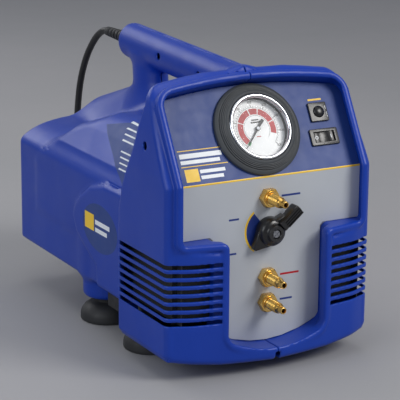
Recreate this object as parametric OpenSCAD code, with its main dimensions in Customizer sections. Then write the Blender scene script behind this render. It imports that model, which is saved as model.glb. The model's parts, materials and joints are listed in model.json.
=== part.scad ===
// Portable refrigerant recovery machine: clamshell housing with a control panel,
// oil-less opposed-piston compressor, fan-cooled motor and condenser, in millimetres.
// +Z is up, the control panel faces -Y, and the origin is on the floor under the
// middle of the machine.

/* [Housing] */
// Half width across the front shell
half_w = 113.5; // [112:0.5:115]
// Wall thickness of the moulded housing
wall = 3; // [2.6:0.2:3.4]
// Y of the rear face behind the lower control panel
rear_y = 361; // [359:0.5:363]
// Half width of the rear box
rear_half = 103.5; // [102:0.5:105]
// Height of the underside of the rear box
rear_bottom = 49; // [47:0.5:51]
// Height of the level crease along the rear box
crease_z = 161; // [159:0.5:163]

/* [Control panel] */
// Height at which the panel starts to lean back
bend_z = 189.5; // [188:0.5:191]
// Angle by which the upper panel leans back
lean = 30; // [29:0.5:31]
// Half width of the wide part of the panel recess
recess_half = 98; // [96:0.5:99]
// Half width of the narrow part between the louvre blocks
narrow_half = 54; // [52:0.5:55]
// How far the recess widens on each side behind its lip
undercut = 7; // [5:0.5:7]
// Thickness of the sheet steel panel
panel_t = 1.6; // [1.2:0.1:2]

/* [Louvres] */
// Number of slots in each louvre block
slot_count = 8; // [6:1:8]
// Distance between slots
slot_pitch = 8; // [7.6:0.1:8.2]
// Height of one slot
slot_h = 4.4; // [4:0.1:4.8]
// Height of the underside of the lowest slot
slot_base = 57; // [55:0.5:58]

/* [Handle] */
// Width of the handle bar
bar_w = 36; // [34:0.5:37]
// Height of the handle bar's section
bar_h = 38; // [37:0.5:39]
// Height of the middle of the bar at its front end
bar_front_z = 269; // [268:0.5:270]
// Height of the middle of the bar at its rear end
bar_rear_z = 275; // [274:0.5:276]

/* [Gauge] */
// Distance of the gauge centre up the leaning panel
gauge_s = 47.5; // [46:0.5:49]
// Outer diameter of the bright bezel ring
bezel_d = 67; // [66:0.5:68]
// Outer diameter of the rubber surround
boot_d = 92.5; // [91:0.5:94]

/* [Ports and selector] */
// Height of the purge port
purge_z = 169.5; // [168:0.5:171]
// Height of the discharge port
discharge_z = 90; // [89:0.5:91]
// Height of the suction port
suction_z = 64.5; // [63:0.5:66]
// Height of the selector knob
knob_z = 137; // [136:0.5:138]
// Distance across corners of the brass hexagons
hex_d = 20; // [19:0.5:21]
// Diameter of the flare thread
flare_d = 11.1; // [11.1]

/* [Drive] */
// Height of the shaft shared by compressor, motor and fan
shaft_z = 103; // [102:0.5:104]
// Crank radius, half of the piston stroke
crank_r = 8; // [7:0.5:8]
// Cylinder bore
bore_d = 36; // [34:1:36]
// Fan diameter
fan_d = 92; // [88:1:94]

/* [Cord] */
// Diameter of the mains cord
cord_d = 7.5; // [7:0.1:8]
// Middle radius of the stored coil's turns
coil_r = 42; // [40:0.5:44]

/* [Hidden] */
$fn = 48;

side_clear = 0.1;                      // gap of each half from the joint at x = 0
ring_y = -15;                          // front face of the panel surround
lip_y = -12;                           // back of the lip round the recess
tip_y = -34;                           // front end of the flare ports
mid_y = (tip_y + rear_y + 1) / 2;      // centre of the machine along Y
surround_top = 286;
panel_top = 94.5;                      // length of the leaning panel at its middle
foot_x = 75;
foot_front_y = 96;
foot_rear_y = 197;
foot_d = 58;
foot_h = 25;
tray_z = 25;                           // underside of the base tray, on top of the feet
tray_t = 2;
switch_x = 72;
switch_s = 31.6;
breaker_s = 57.2;
bar_front_y = 48;
handle_screw = [[110, 270], [196, 274]];  // Y and Z of the two handle screws
side_screw = [40, 223];                // Y and Z of the screws into the panel
grille_screw = [for (x = [-83.5, 83.5], z = [58.5, 149.5]) [x, z]];
mount_hole = [for (x = [-30, 30], y = [96, 138]) [x, y]];  // compressor bolts in the tray
bar_rear_y = 294;
post_y = 245;
coil_c = [55, 410];
fit_gap = 0.05;                        // radial running clearance

// ---------- shared helpers ----------

// Moves a shape whose Y is measured from the lower panel into the part's frame.
module placed() { translate([0, -mid_y, 0]) children(); }

// Frame of the leaning panel: Z runs up the panel and -Y points out of it.
module leaning(s = 0, x = 0)
    placed() translate([0, 0, bend_z]) rotate([-lean, 0, 0]) translate([x, 0, s]) children();

// Points of an arc in degrees about a centre.
function arc(c, r, a0, a1, n = 6) =
    [for (i = [0:n]) let (a = a0 + (a1 - a0) * i / n) [c[0] + r * cos(a), c[1] + r * sin(a)]];

// Outline mirrored about the second axis, from the points of its right half.
function both_sides(p) =
    concat(p, [for (i = [len(p) - 1:-1:0]) if (p[i][0] > 0.01) [-p[i][0], p[i][1]]]);

// Rounded rectangle.
function round_rect(w, h, r, n = 5) = concat(
    arc([w / 2 - r, h / 2 - r], r, 0, 90, n), arc([-w / 2 + r, h / 2 - r], r, 90, 180, n),
    arc([-w / 2 + r, -h / 2 + r], r, 180, 270, n), arc([w / 2 - r, -h / 2 + r], r, 270, 360, n));

// Extrudes an outline drawn in X and Z along Y, from y0 to y1.
module along_y(y0, y1) translate([0, y1, 0]) rotate([90, 0, 0]) linear_extrude(y1 - y0) children();

// Extrudes an outline drawn in Y and Z along X, over |x| < half.
module along_x(half) rotate([90, 0, 90]) translate([0, 0, -half]) linear_extrude(2 * half) children();

// Cylinder along Y from y0 to y1.
module rod_y(d, y0, y1, x = 0, z = 0) translate([x, y1, z]) rotate([90, 0, 0]) cylinder(d = d, h = y1 - y0);

// Cylinder along X from x0 to x1.
module rod_x(d, x0, x1, y = 0, z = 0) translate([x0, y, z]) rotate([0, 90, 0]) cylinder(d = d, h = x1 - x0);

// Point of a smooth curve through four neighbouring points.
function spline(a, b, c, d, t) = 0.5 * (2 * b + (c - a) * t + (2 * a - 5 * b + 4 * c - d) * t * t
    + (3 * b - a - 3 * c + d) * t * t * t);
function smooth_path(p, n) = concat([for (i = [0:len(p) - 2]) for (j = [0:n - 1])
    spline(p[max(i - 1, 0)], p[i], p[i + 1], p[min(i + 2, len(p) - 1)], j / n)], [p[len(p) - 1]]);
function unit(v) = v / norm(v);
function along(p, i) = unit(p[min(i + 1, len(p) - 1)] - p[max(i - 1, 0)]);
// Carries a side direction along the path without twist.
function carried(p, i, s) = unit(s - (s * along(p, i)) * along(p, i));
function sides(p, s, i = 0) = i == len(p) ? []
    : let (c = carried(p, i, s)) concat([c], sides(p, c, i + 1));

// Round tube swept along a path.
module tube(path, d, n = 8, start = [1, 0, 0.013]) {
    s = sides(path, start);
    pts = [for (i = [0:len(path) - 1]) for (k = [0:n - 1])
        let (u = s[i], v = cross(along(path, i), u), a = 360 * k / n)
        path[i] + d / 2 * (cos(a) * u + sin(a) * v)];
    last = len(path) - 1;
    walls = [for (i = [0:last - 1]) for (k = [0:n - 1]) let (m = (k + 1) % n)
        [i * n + m, i * n + k, (i + 1) * n + k, (i + 1) * n + m]];
    polyhedron(pts, concat([[for (k = [0:n - 1]) k]], walls, [[for (k = [n - 1:-1:0]) last * n + k]]), 4);
}

// ---------- housing outlines, each inset by t ----------

// Front shell seen from the front.
module front_outline(t) polygon(both_sides(concat(
    [[0, 12 + t], [60, 14.5 + t], [half_w - 4, 20.5 + t], [half_w - t, 26 + t], [half_w - t, 200]],
    arc([87, surround_top - 31.5], 22 - t, 12, 82), [[45, 283.5 - t], [0, surround_top - t]])));

// Front shell seen from the side.
module front_profile(t) polygon([[ring_y + t, 8], [ring_y + t, 196],
    [ring_y + t + tan(lean) * (surround_top + 4 - 196), surround_top + 4], [64 - t, surround_top + 4],
    [50 - t, 258], [67 - t, 213], [88 - t, 173], [95 - t, 150], [95 - t, 8]]);

// Louvre blocks seen from above.
module block_plan(t) polygon(both_sides(concat([[0, -26 + t], [50, -24 + t]],
    [[56, -23.2 + t], [100, -12.8 + t]], arc([half_w - 7, -4], 7 - t, -75, 0),
    [[half_w - t, 95 - t], [0, 95 - t]])));

// Rear box and neck seen from behind.
module rear_outline(t) polygon(both_sides(concat(
    [[0, rear_bottom + t], [rear_half - 8, rear_bottom + t]],
    arc([rear_half - 8, rear_bottom + 8], 8 - t, -60, 0),
    arc([rear_half - 10, crease_z - 4], 10 - t, 0, 60), [[72, 175.5 - t], [34, 181 - t], [0, 184 - t]])));

module rear_body(t) intersection() {
    along_y(60 + t, rear_y - t) rear_outline(t);
    linear_extrude(250) polygon(both_sides(concat([[0, 60]], [[rear_half, 60]],
        arc([rear_half - 8, rear_y - 8], 8 - t, 0, 90), [[0, rear_y - t]])));
}

// Spine that rises from the rear face to the handle's rear post.
module spine(t) intersection() {
    along_x(34) polygon([[150, 120], [rear_y - t, 120], [rear_y - t, 200 - t], [272, 231 - t], [235, 238 - t],
        [150, 222 - t]]);
    along_y(150 + t, rear_y - t) polygon(both_sides([[0, 120], [32 - t, 120], [32 - t, 182 - t],
        [10, 218 - t], [9, 238 - t], [0, 239 - t]]));
}

// Shoulder between the front shell and the rear box.
module shoulder(t) intersection() {
    along_x(rear_half + 1) polygon([[40, 100], [40, 262 - t], [76 - t, 258 - t], [96, 221 - t], [150, 218 - t],
        [235, 214 - t], [290, 182 - t], [290, 100]]);
    along_y(40 + t, 290) polygon(both_sides([[0, 100], [rear_half + 1 - t, 100], [rear_half + 1 - t, 158 - t],
        [92, 182 - t], [70, 206 - t], [50 - t, 226 - t], [44 - t, 262 - t], [0, 262 - t]]));
}

// Rounded column over each rear foot, and the boss under it.
module columns(t) for (sx = [-1, 1]) {
    translate([sx * 78, 178, rear_bottom - 4 + t]) cylinder(r = 33 - t, h = 164 - rear_bottom - 2 * t);
    translate([sx * foot_x, foot_rear_y, tray_z + t]) cylinder(r = 27 - t, h = rear_bottom - tray_z + 6);
}

module handle_bar(t) {
    rise = (bar_rear_z - bar_front_z) / (bar_rear_y - bar_front_y);
    intersection() {
        along_x(30) polygon([[bar_front_y, bar_front_z - bar_h / 2 + t],
            [bar_rear_y - 10, bar_front_z - bar_h / 2 + t + rise * (bar_rear_y - bar_front_y)],
            [bar_rear_y - t, bar_rear_z - 9], [bar_rear_y - t, bar_rear_z + 10],
            [bar_rear_y - 8, bar_rear_z + bar_h / 2 - t], [bar_front_y, bar_front_z + bar_h / 2 - t]]);
        along_y(bar_front_y, bar_rear_y) translate([0, 272])
            polygon(round_rect(bar_w - 2 * t, bar_h + 8 - 2 * t, 17.5 - t, 6));
    }
}

module housing_body(t) {
    intersection() {
        along_y(-30, 100) front_outline(t);
        along_x(120) front_profile(t);
    }
    intersection() {
        translate([0, 0, 8]) linear_extrude(125 - t) block_plan(t);
        along_y(-30, 100) front_outline(t);
    }
    rear_body(t);
    spine(t);
    shoulder(t);
    columns(t);
    handle_bar(t);
    translate([0, post_y, 205]) linear_extrude(62) polygon([for (a = [0:20:340])
        [(18 - t) * cos(a), (27 - t) * sin(a)]]);
}

// Part of the recess between two depths: wide above the louvre blocks and narrow between
// them, wider by extra on both sides and grown all round by grow.
module recess_cut(extra, grow, y0, y1) {
    below = 133 - grow;
    wide = recess_half + extra + grow;
    narrow = narrow_half + extra + grow;
    along_y(y0, y1) polygon(both_sides([[0, 25 - grow], [36, 30 - grow], [narrow, 38 - grow],
        [narrow, below - 6], [narrow + 6, below], [wide, below + 4], [wide, bend_z], [0, bend_z]]));
    translate([0, 0, bend_z]) rotate([-lean, 0, 0]) along_y(y0 - 20, y1) polygon(both_sides(concat(
        [[0, -10], [wide, -10]], arc([recess_half + extra - 12, 74], 12 + grow, 0, 80),
        [[0, panel_top + grow]])));
}

// Recess for the panel, undercut behind the lip and reaching back to a given depth.
module panel_recess(grow, back) {
    recess_cut(0, grow, -40, back);
    intersection() {
        recess_cut(undercut, grow, -40, back);
        along_x(130) polygon([[lip_y - grow, 10], [lip_y - grow, 196],
            [lip_y - grow + tan(lean) * 104, 300], [60, 300], [60, 10]]);
    }
}

// Space behind the panel, open towards the inside of the machine.
module panel_back() {
    wide = recess_half + undercut - 7.5;
    narrow = narrow_half + undercut - 8;
    along_y(-1, 12) polygon(both_sides([[0, 33], [narrow, 44], [narrow, 139], [wide, 144],
        [wide, bend_z + 1], [0, bend_z + 1]]));
    translate([0, 0, bend_z]) rotate([-lean, 0, 0]) along_y(-1, 12)
        polygon(both_sides([[0, -3], [wide, -3], [wide, 70], [76, 78], [0, 81]]));
}

// One block's slots, cut through the front and round the corner into the side.
module louvre_slots(sx) for (i = [0:slot_count - 1]) translate([0, 0, slot_base + i * slot_pitch]) {
    mirror([sx < 0 ? 1 : 0, 0, 0]) {
        translate([66, -40, 0]) cube([37, 36, slot_h]);
        translate([105.5, -20, 0]) cube([20, 22, slot_h]);
        for (k = [0:3]) translate([100, 5 + k * 22, 0]) cube([30, 19, slot_h]);
    }
}

module handle_holes() for (p = handle_screw) {
    rod_x(7.5, -30, -8, p[0], p[1]);
    rod_x(4.3, -9, 1, p[0], p[1]);
    rod_x(3.2, 0, 12, p[0], p[1]);
}

module side_screw_holes() for (sx = [-1, 1]) mirror([sx < 0 ? 1 : 0, 0, 0]) {
    rod_x(4.3, 90, 110, side_screw[0], side_screw[1]);
    rod_x(8, 103.5, 120, side_screw[0], side_screw[1]);
}

module housing_half(sx) placed() difference() {
    intersection() {
        union() {
            difference() {
                housing_body(0);
                housing_body(wall);
            }
            // walls of the panel recess and the ledge behind the panel's edge
            intersection() {
                panel_recess(wall, panel_t + wall);
                housing_body(0);
            }
            // posts that the handle screws draw together
            for (p = handle_screw) rod_x(11, -16.5, 16.5, p[0], p[1]);
            // bosses that the side screws pull against the panel's tabs
            for (x = [-110, 97.3]) rod_x(13, x, x + 12.7, side_screw[0], side_screw[1]);
        }
        translate([sx > 0 ? side_clear : -130 - side_clear, -50, 0]) cube([130, 450, 320]);
    }
    panel_recess(0, panel_t + 0.1);
    panel_back();
    louvre_slots(sx);
    handle_holes();
    side_screw_holes();
    // mouth of the strain relief at the handle's rear end
    rod_y(17, bar_rear_y - 6, bar_rear_y + 1, 0, bar_rear_z);
    // rear air outlet and the pilot holes for its grille
    along_y(rear_y - 5, rear_y + 1) polygon([[-80, 62], [80, 62], [80, 146], [-80, 146]]);
    for (p = grille_screw) rod_y(3, rear_y - 10, rear_y + 1, p[0], p[1]);
    // room for the base tray and the front feet
    linear_extrude(rear_bottom + 5) tray_plan(-1.2);
    for (x = [-foot_x, foot_x]) {
        translate([x, foot_front_y, 0]) cylinder(d = foot_d + 4, h = tray_z + 3);
        translate([x, foot_rear_y, 20]) cylinder(d = 5.2, h = 18);
    }
}

// Solid core of each rear foot boss, with its screw's pilot hole.
module boss_core(sx) placed() translate([sx * foot_x, foot_rear_y, tray_z]) difference() {
    cylinder(r = 9, h = 26);
    translate([0, 0, -1]) cylinder(d = 5.2, h = 14);
}

module left_housing() color([0.13, 0.22, 0.62]) union() {
    housing_half(-1);
    boss_core(-1);
}

module right_housing() color([0.13, 0.22, 0.62]) union() {
    housing_half(1);
    boss_core(1);
}

// ---------- base, feet and fasteners ----------

// Base tray seen from above: wide under the compressor, narrow under the motor.
module tray_plan(t) polygon([[-90 + t, 64 + t], [90 - t, 64 + t], [90 - t, 166 - t], [44 - t, 166 - t],
    [44 - t, 236 - t], [-44 + t, 236 - t], [-44 + t, 166 - t], [-90 + t, 166 - t]]);

module base_plate() color([0.07, 0.07, 0.08]) placed() difference() {
    translate([0, 0, tray_z]) linear_extrude(rear_bottom - tray_z - 1) tray_plan(0);
    translate([0, 0, tray_z + tray_t]) linear_extrude(40) tray_plan(tray_t);
    for (x = [-foot_x, foot_x]) translate([x, foot_front_y, 0]) cylinder(d = 5.4, h = 40);
    for (p = mount_hole) translate([p[0], p[1], 0]) cylinder(d = 6.5, h = 40);
}

module foot(x, y) color([0.05, 0.05, 0.05]) placed() translate([x, y, 0]) difference() {
    rotate_extrude() polygon(concat([[0, 0], [foot_d / 2 - 1.5, 0], [foot_d / 2, 1.5], [foot_d / 2, 4]],
        arc([12, 4], 16, 20, 80, 5), [[13, foot_h], [0, foot_h]]));
    translate([0, 0, -1]) cylinder(d = 13, h = 11);
    cylinder(d = 5.4, h = 40);
}

module foot_front_left() foot(-foot_x, foot_front_y);
module foot_front_right() foot(foot_x, foot_front_y);
module foot_rear_left() foot(-foot_x, foot_rear_y);
module foot_rear_right() foot(foot_x, foot_rear_y);

// Pan-head screw that points up, with the underside of its head at the origin.
module screw(d, head_d, head_h, length) {
    translate([0, 0, -head_h]) cylinder(d = head_d, h = head_h);
    translate([0, 0, -0.1]) cylinder(d = d, h = length + 0.1);
}

// Screws through the feet, and the bolts that hold the compressor on the tray.
module base_screws() color([0.6, 0.6, 0.62]) placed() {
    for (x = [-foot_x, foot_x]) translate([x, foot_front_y, 10]) {
        screw(5, 11, 4, 24);
        // nut above the tray
        difference() {
            translate([0, 0, 17.05]) cylinder(d = 9.2, h = 4, $fn = 6);
            translate([0, 0, 16]) cylinder(d = 4.9, h = 8);
        }
    }
    for (x = [-foot_x, foot_x]) translate([x, foot_rear_y, 10]) screw(5, 11, 4, 26);
    for (p = mount_hole) translate([p[0], p[1], tray_z - 0.05]) screw(6, 10, 3.5, 11.5);
}

module panel_screws() color([0.08, 0.08, 0.09]) placed() for (sx = [-1, 1])
    translate([sx * 103.55, side_screw[0], side_screw[1]]) rotate([0, -90 * sx, 0]) screw(4, 7.4, 2, 10);

module handle_screws() color([0.08, 0.08, 0.09]) placed()
    for (p = handle_screw) translate([-8.05, p[0], p[1]]) rotate([0, 90, 0]) screw(3.1, 6.8, 2.4, 18);

module rear_grille() color([0.07, 0.07, 0.08]) placed() difference() {
    union() {
        along_y(rear_y + 0.05, rear_y + 1) polygon([[-87, 55], [87, 55], [87, 153], [-87, 153]]);
        along_y(rear_y - 4, rear_y + 0.1) polygon([[-79.5, 62.5], [79.5, 62.5], [79.5, 145.5], [-79.5, 145.5]]);
    }
    for (i = [0:7], x = [-76, 2]) translate([x, rear_y - 10, 67 + 9.6 * i]) cube([74, 20, 5]);
    for (p = grille_screw) {
        rod_y(3, rear_y - 10, rear_y + 2, p[0], p[1]);
        rod_y(5.4, rear_y + 0.5, rear_y + 2, p[0], p[1]);
    }
}

module grille_screws() color([0.6, 0.6, 0.62]) placed() for (p = grille_screw)
    translate([p[0], rear_y + 0.52, p[1]]) rotate([90, 0, 0]) screw(2.9, 5.2, 0.48, 8);

// ---------- control panel ----------

module on_lower(x, z) placed() translate([x, 0, z]) rotate([90, 0, 0]) children();
module on_upper(x, s) leaning(s, x) rotate([90, 0, 0]) children();

panel_half = recess_half + undercut;
panel_narrow = narrow_half + undercut;

// Lower panel outline, inset by t.
module lower_plan(t) polygon(both_sides([[0, 25.4 + t], [36, 30.4 + t], [panel_narrow - t, 38.4 + t],
    [panel_narrow - t, 127 + t], [panel_narrow + 6 - t, 133 + t], [panel_half - t, 137 + t],
    [panel_half - t, bend_z], [0, bend_z]]));

// Leaning panel outline in its own frame, inset by t.
module upper_plan(t) polygon(both_sides(concat([[0, 0], [panel_half - t, 0]],
    arc([panel_half - 12, 74], 12 - t, 0, 80), [[0, panel_top - t]])));

// A sheet over the whole panel whose front lies n in front of it.
module panel_sheet(t, thick, n) placed() {
    along_y(-n, thick - n) lower_plan(t);
    translate([0, 0, bend_z]) rotate([-lean, 0, 0]) along_y(-n, thick - n) upper_plan(t);
}

module panel_holes() {
    for (z = [purge_z, discharge_z, suction_z]) on_lower(0, z) translate([0, 0, -5]) cylinder(d = 12.3, h = 10);
    on_lower(0, knob_z) translate([0, 0, -5]) cylinder(d = 9, h = 10);
    on_upper(0, gauge_s) translate([0, 0, -5]) cylinder(d = 63.6, h = 10);
    on_upper(switch_x, switch_s) translate([-13.8, -6.8, -5]) cube([27.6, 13.6, 10]);
    on_upper(switch_x, breaker_s) translate([-8.8, -8.3, -5]) cube([17.6, 16.6, 10]);
}

module front_panel() color([0.6, 0.62, 0.66]) union() {
    difference() {
        panel_sheet(0.3, panel_t, 0);
        panel_holes();
    }
    // tabs for the side screws
    for (sx = [-1, 1]) difference() {
        leaning() translate([sx * 95.5 - 1.5, 1, 40]) cube([3, 24, 18]);
        placed() rod_x(4.3, sx * 95.5 - 5, sx * 95.5 + 5, side_screw[0], side_screw[1]);
    }
}

module panel_overlay() color([0.62, 0.64, 0.68]) difference() {
    panel_sheet(0.8, 0.35, 0.4);
    panel_holes();
}

// ---------- pressure gauge ----------

module gauge_frame() on_upper(0, gauge_s) children();

module gauge_boot() color([0.05, 0.05, 0.06]) gauge_frame() rotate_extrude() polygon([[32, 0.45],
    [boot_d / 2, 0.45], [boot_d / 2, 4], [43.5, 8], [38, 9.6], [bezel_d / 2 + 0.8, 10.4],
    [bezel_d / 2 + 0.8, 4.5], [32, 4.5]]);

module gauge_case() color([0.2, 0.2, 0.22]) gauge_frame() translate([0, 0, -26]) difference() {
    cylinder(r = 31.4, h = 30.2);
    translate([0, 0, 1.2]) cylinder(r = 30.2, h = 40);
    // hole for the stem
    translate([0, -18, -1]) cylinder(r = 6.1, h = 4);
}

module gauge_bezel() color([0.8, 0.8, 0.82]) gauge_frame() rotate_extrude() polygon(concat(
    [[30.5, 8.4], [29.4, 8.4], [29.4, 9.6]], arc([31.4, 9.6], 2, 180, 0, 6),
    [[bezel_d / 2, 4.7], [30.5, 4.7]]));

module gauge_lens() color([0.85, 0.9, 0.95, 0.3]) gauge_frame()
    translate([0, 0, 6.8]) cylinder(r = 30.4, h = 1.5);

module gauge_dial() color([0.95, 0.95, 0.93]) gauge_frame() translate([0, 0, 1.2]) difference() {
    cylinder(r = 30.1, h = 0.8);
    translate([0, 0, -1]) cylinder(r = 1.6, h = 4);
}

module gauge_pointer() color([0.04, 0.04, 0.04]) gauge_frame() rotate([0, 0, 228]) {
    translate([0, 0, 3.6]) linear_extrude(0.7) polygon([[0, -1.1], [24, -0.3], [24, 0.3], [0, 1.1],
        [-8, 1.6], [-11, 1.6], [-11, -1.6], [-8, -1.6]]);
    translate([0, 0, 3]) cylinder(r = 2.4, h = 2);
    translate([0, 0, -9]) cylinder(r = 1, h = 12.5);
}

// Movement plate and bush behind the dial, with the curved pressure tube on it.
module gauge_movement() color([0.75, 0.6, 0.3]) gauge_frame() {
    difference() {
        union() {
            translate([-9, -22, -9]) cube([18, 30, 2]);
            translate([0, 0, -8]) cylinder(r = 3, h = 6);
            translate([-6, -24, -9]) cube([12, 12, 8]);
        }
        translate([0, 0, -12]) cylinder(r = 1 + fit_gap, h = 14);
        translate([0, -18, -10]) cylinder(r = 3, h = 6);
    }
    rotate([0, 0, -60]) rotate_extrude(angle = 250) translate([20, -6]) circle(r = 2.2);
}

module gauge_stem() color([0.78, 0.6, 0.25]) gauge_frame() translate([0, -18, 0]) difference() {
    union() {
        translate([0, 0, -42]) cylinder(r = 5, h = 16);
        translate([0, 0, -30]) cylinder(r = 6, h = 20.95);
    }
    translate([0, 0, -43]) cylinder(r = 2, h = 36);
}

// ---------- switch and breaker ----------

module switch_frame(s) on_upper(switch_x, s) children();

module switch_housing() color([0.06, 0.06, 0.06]) switch_frame(switch_s) difference() {
    union() {
        translate([-15.8, -8.5, 0.45]) cube([31.6, 17, 2]);
        translate([-13.4, -6.5, -18]) cube([26.8, 13, 19]);
    }
    translate([-11.8, -5.7, -11]) cube([23.6, 11.4, 20]);
    // pivot holes in both long walls
    translate([0, 10, -4]) rotate([90, 0, 0]) cylinder(r = 1.5 + fit_gap, h = 20);
}

module switch_rocker() color([0.08, 0.08, 0.08]) switch_frame(switch_s)
translate([0, 0, -4]) rotate([0, -7, 0]) {
    rotate([90, 0, 0]) linear_extrude(11, center = true) polygon([[-11, 5.4], [-7, 5.7], [0, 4.4], [7, 5.7],
        [11, 5.4], [8, -3.5], [-8, -3.5]]);
    rotate([90, 0, 0]) cylinder(r = 1.5, h = 12.9, center = true);
}

module breaker_housing() color([0.05, 0.05, 0.05]) switch_frame(breaker_s) difference() {
    union() {
        translate([-10.3, -9.8, 0.45]) cube([20.6, 19.6, 2.4]);
        translate([-8.5, -8, -26]) cube([17, 16, 27]);
    }
    translate([0, 0, -12]) cylinder(d = 12, h = 30);
}

module breaker_button() color([0.1, 0.1, 0.1]) switch_frame(breaker_s) difference() {
    union() {
        translate([0, 0, -11.5]) cylinder(d = 11.9, h = 14.6);
        translate([0, 0, -1.6]) intersection() {
            sphere(r = 7.6);
            translate([0, 0, 4.6]) cylinder(d = 11.9, h = 6);
        }
    }
    translate([0, 0, -12.5]) cylinder(d = 7, h = 8);
}

// ---------- flare ports and selector ----------

// Flare fitting through the panel, with a barb towards the machine's inside.
module port(z) color([0.82, 0.62, 0.25]) on_lower(0, z) difference() {
    union() {
        translate([0, 0, 0.45]) cylinder(d = hex_d, h = 7, $fn = 6);
        translate([0, 0, 7]) cylinder(d = flare_d, h = 19.5);
        translate([0, 0, 26.4]) cylinder(d1 = 9.4, d2 = 7.2, h = 2.2);
        translate([0, 0, 28.5]) cylinder(d = 7.2, h = -tip_y - 28.5);
        translate([0, 0, -14]) cylinder(d = 12, h = 15);
        translate([0, 0, -20]) cylinder(d = 8, h = 7);
    }
    translate([0, 0, -30]) cylinder(d = 4.8, h = 80);
}

module purge_port() port(purge_z);
module discharge_port() port(discharge_z);
module suction_port() port(suction_z);

module port_nuts() color([0.8, 0.62, 0.28]) for (z = [purge_z, discharge_z, suction_z])
    on_lower(0, z) translate([0, 0, -7]) difference() {
        cylinder(d = 20, h = 5, $fn = 6);
        translate([0, 0, -1]) cylinder(d = 12.1, h = 10);
    }

// Ribbed lever towards one side of the hub and a short pointer opposite.
module selector_knob() color([0.05, 0.05, 0.05]) on_lower(0, knob_z) difference() {
    union() {
        translate([0, 0, 2]) cylinder(d = 31, h = 12);
        rotate([0, 0, 41]) {
            translate([4, -6, 10]) linear_extrude(11) polygon([[0, 0], [28, 0.8], [30, 3], [30, 9], [28, 11.2],
                [0, 12]]);
            translate([0, 0, 2]) linear_extrude(8) polygon([[0, 14], [-14, 9], [-25, 1.5], [-25, -1.5],
                [-14, -9], [0, -14]]);
        }
        translate([0, 0, 13]) cylinder(d = 17, h = 6);
    }
    translate([0, 0, -1]) cylinder(d = 8, h = 13);
    translate([0, 0, 10]) cylinder(d = 4.2, h = 20);
    translate([0, 0, 16]) cylinder(d = 9, h = 10);
}

module knob_screw() color([0.7, 0.7, 0.72]) on_lower(0, knob_z) {
    translate([0, 0, 16]) cylinder(d = 8.4, h = 2.4);
    translate([0, 0, 12]) cylinder(d = 4.1, h = 4.1);
}

module valve_stem() color([0.75, 0.75, 0.77]) on_lower(0, knob_z) {
    translate([0, 0, -24]) cylinder(d = 8, h = 36);
}

module valve_body() color([0.8, 0.62, 0.28]) on_lower(0, knob_z) difference() {
    union() {
        translate([-15, -14, -34]) cube([30, 28, 30]);
        translate([0, 0, -5]) cylinder(d = 14, h = 3.2);
        for (sx = [-1, 1]) rotate([0, 90, 0]) translate([20, 0, sx > 0 ? 14 : -22]) cylinder(d = 9, h = 8);
    }
    translate([0, 0, -26]) cylinder(r = 4 + fit_gap, h = 40);
    translate([0, 0, -20]) rotate([0, 90, 0]) translate([0, 0, -30]) cylinder(d = 4, h = 60);
}

// ---------- compressor ----------

module drive() placed() translate([0, 0, shaft_z]) children();

module crankcase() color([0.6, 0.61, 0.63]) drive() difference() {
    union() {
        translate([-46, 86, -44]) cube([92, 60, 84]);
        // legs down to the tray
        for (x = [-40, 20]) translate([x, 88, tray_z + tray_t + 0.05 - shaft_z]) cube([20, 56, 40]);
        // motor flange
        rod_y(92, 145, 160);
    }
    translate([-40, 96, -36]) cube([80, 42, 70]);
    rod_x(40, -50, 50, 112, 0);
    rod_y(28, 88, 100);
    rod_y(28, 138.5, 145.5);
    rod_y(14, 130, 150);
    rod_y(84, 149, 161);
    for (p = mount_hole) translate([p[0], p[1], -100]) cylinder(d = 6.5, h = 34);
}

// Finned cylinder on one side of the crankcase.
module cylinder_side(sx) color([0.62, 0.63, 0.65]) drive() mirror([sx < 0 ? 1 : 0, 0, 0]) difference() {
    union() {
        rod_x(43, 46.05, 78, 112, 0);
        for (i = [0:4]) rod_x(54, 48 + i * 6, 51 + i * 6, 112, 0);
        rod_x(39.6, 41, 46.1, 112, 0);
    }
    rod_x(bore_d, 30, 90, 112, 0);
}

module left_cylinder() cylinder_side(-1);
module right_cylinder() cylinder_side(1);

module head_side(sx) color([0.55, 0.56, 0.58]) drive() mirror([sx < 0 ? 1 : 0, 0, 0]) difference() {
    union() {
        rod_x(54, 78.05, 90, 112, 0);
        for (z = [-33, 23]) translate([84, 112, z]) cylinder(d = 9, h = 10);
    }
    rod_x(30, 77, 86, 112, 0);
    translate([84, 112, -40]) cylinder(d = 5, h = 80);
}

module left_head() head_side(-1);
module right_head() head_side(1);

// Both pistons on one yoke whose window clears the crank pin at every angle.
module piston_yoke() color([0.7, 0.7, 0.72]) drive() {
    window = 2 * crank_r + 6;
    for (sx = [-1, 1]) mirror([sx < 0 ? 1 : 0, 0, 0]) difference() {
        rod_x(bore_d - 2 * fit_gap, 54, 68, 112, 0);
        rod_x(bore_d - 8, 53, 63, 112, 0);
        for (x = [58, 64.5]) difference() {
            rod_x(40, x, x + 1.5, 112, 0);
            rod_x(bore_d - 3, x - 1, x + 3, 112, 0);
        }
    }
    for (sx = [-1, 1]) rod_x(12, sx > 0 ? window + 2 : -64, sx > 0 ? 64 : -window - 2, 112, 0);
    difference() {
        translate([-window - 6, 107, -21]) cube([2 * window + 12, 10, 42]);
        translate([-window, 100, -15]) cube([2 * window, 30, 30]);
    }
}

// Crankshaft with its pin at the bottom, where its weight keeps it at rest.
module crankshaft() color([0.66, 0.67, 0.7]) drive() {
    rod_y(12, 88.5, 101);
    rod_y(44, 99.5, 104.5);
    rod_y(10, 104, 120, 0, -crank_r);
    rod_y(44, 119.5, 124.5);
    rod_y(12, 124, 296);
}

module bearing(y) color([0.7, 0.7, 0.72]) drive() difference() {
    rod_y(27.9, y, y + 6.8);
    rod_y(12 + 2 * fit_gap, y - 1, y + 9);
}

module front_bearing() bearing(89);
module rear_bearing() bearing(138.6);

// ---------- motor and fan ----------

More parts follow.
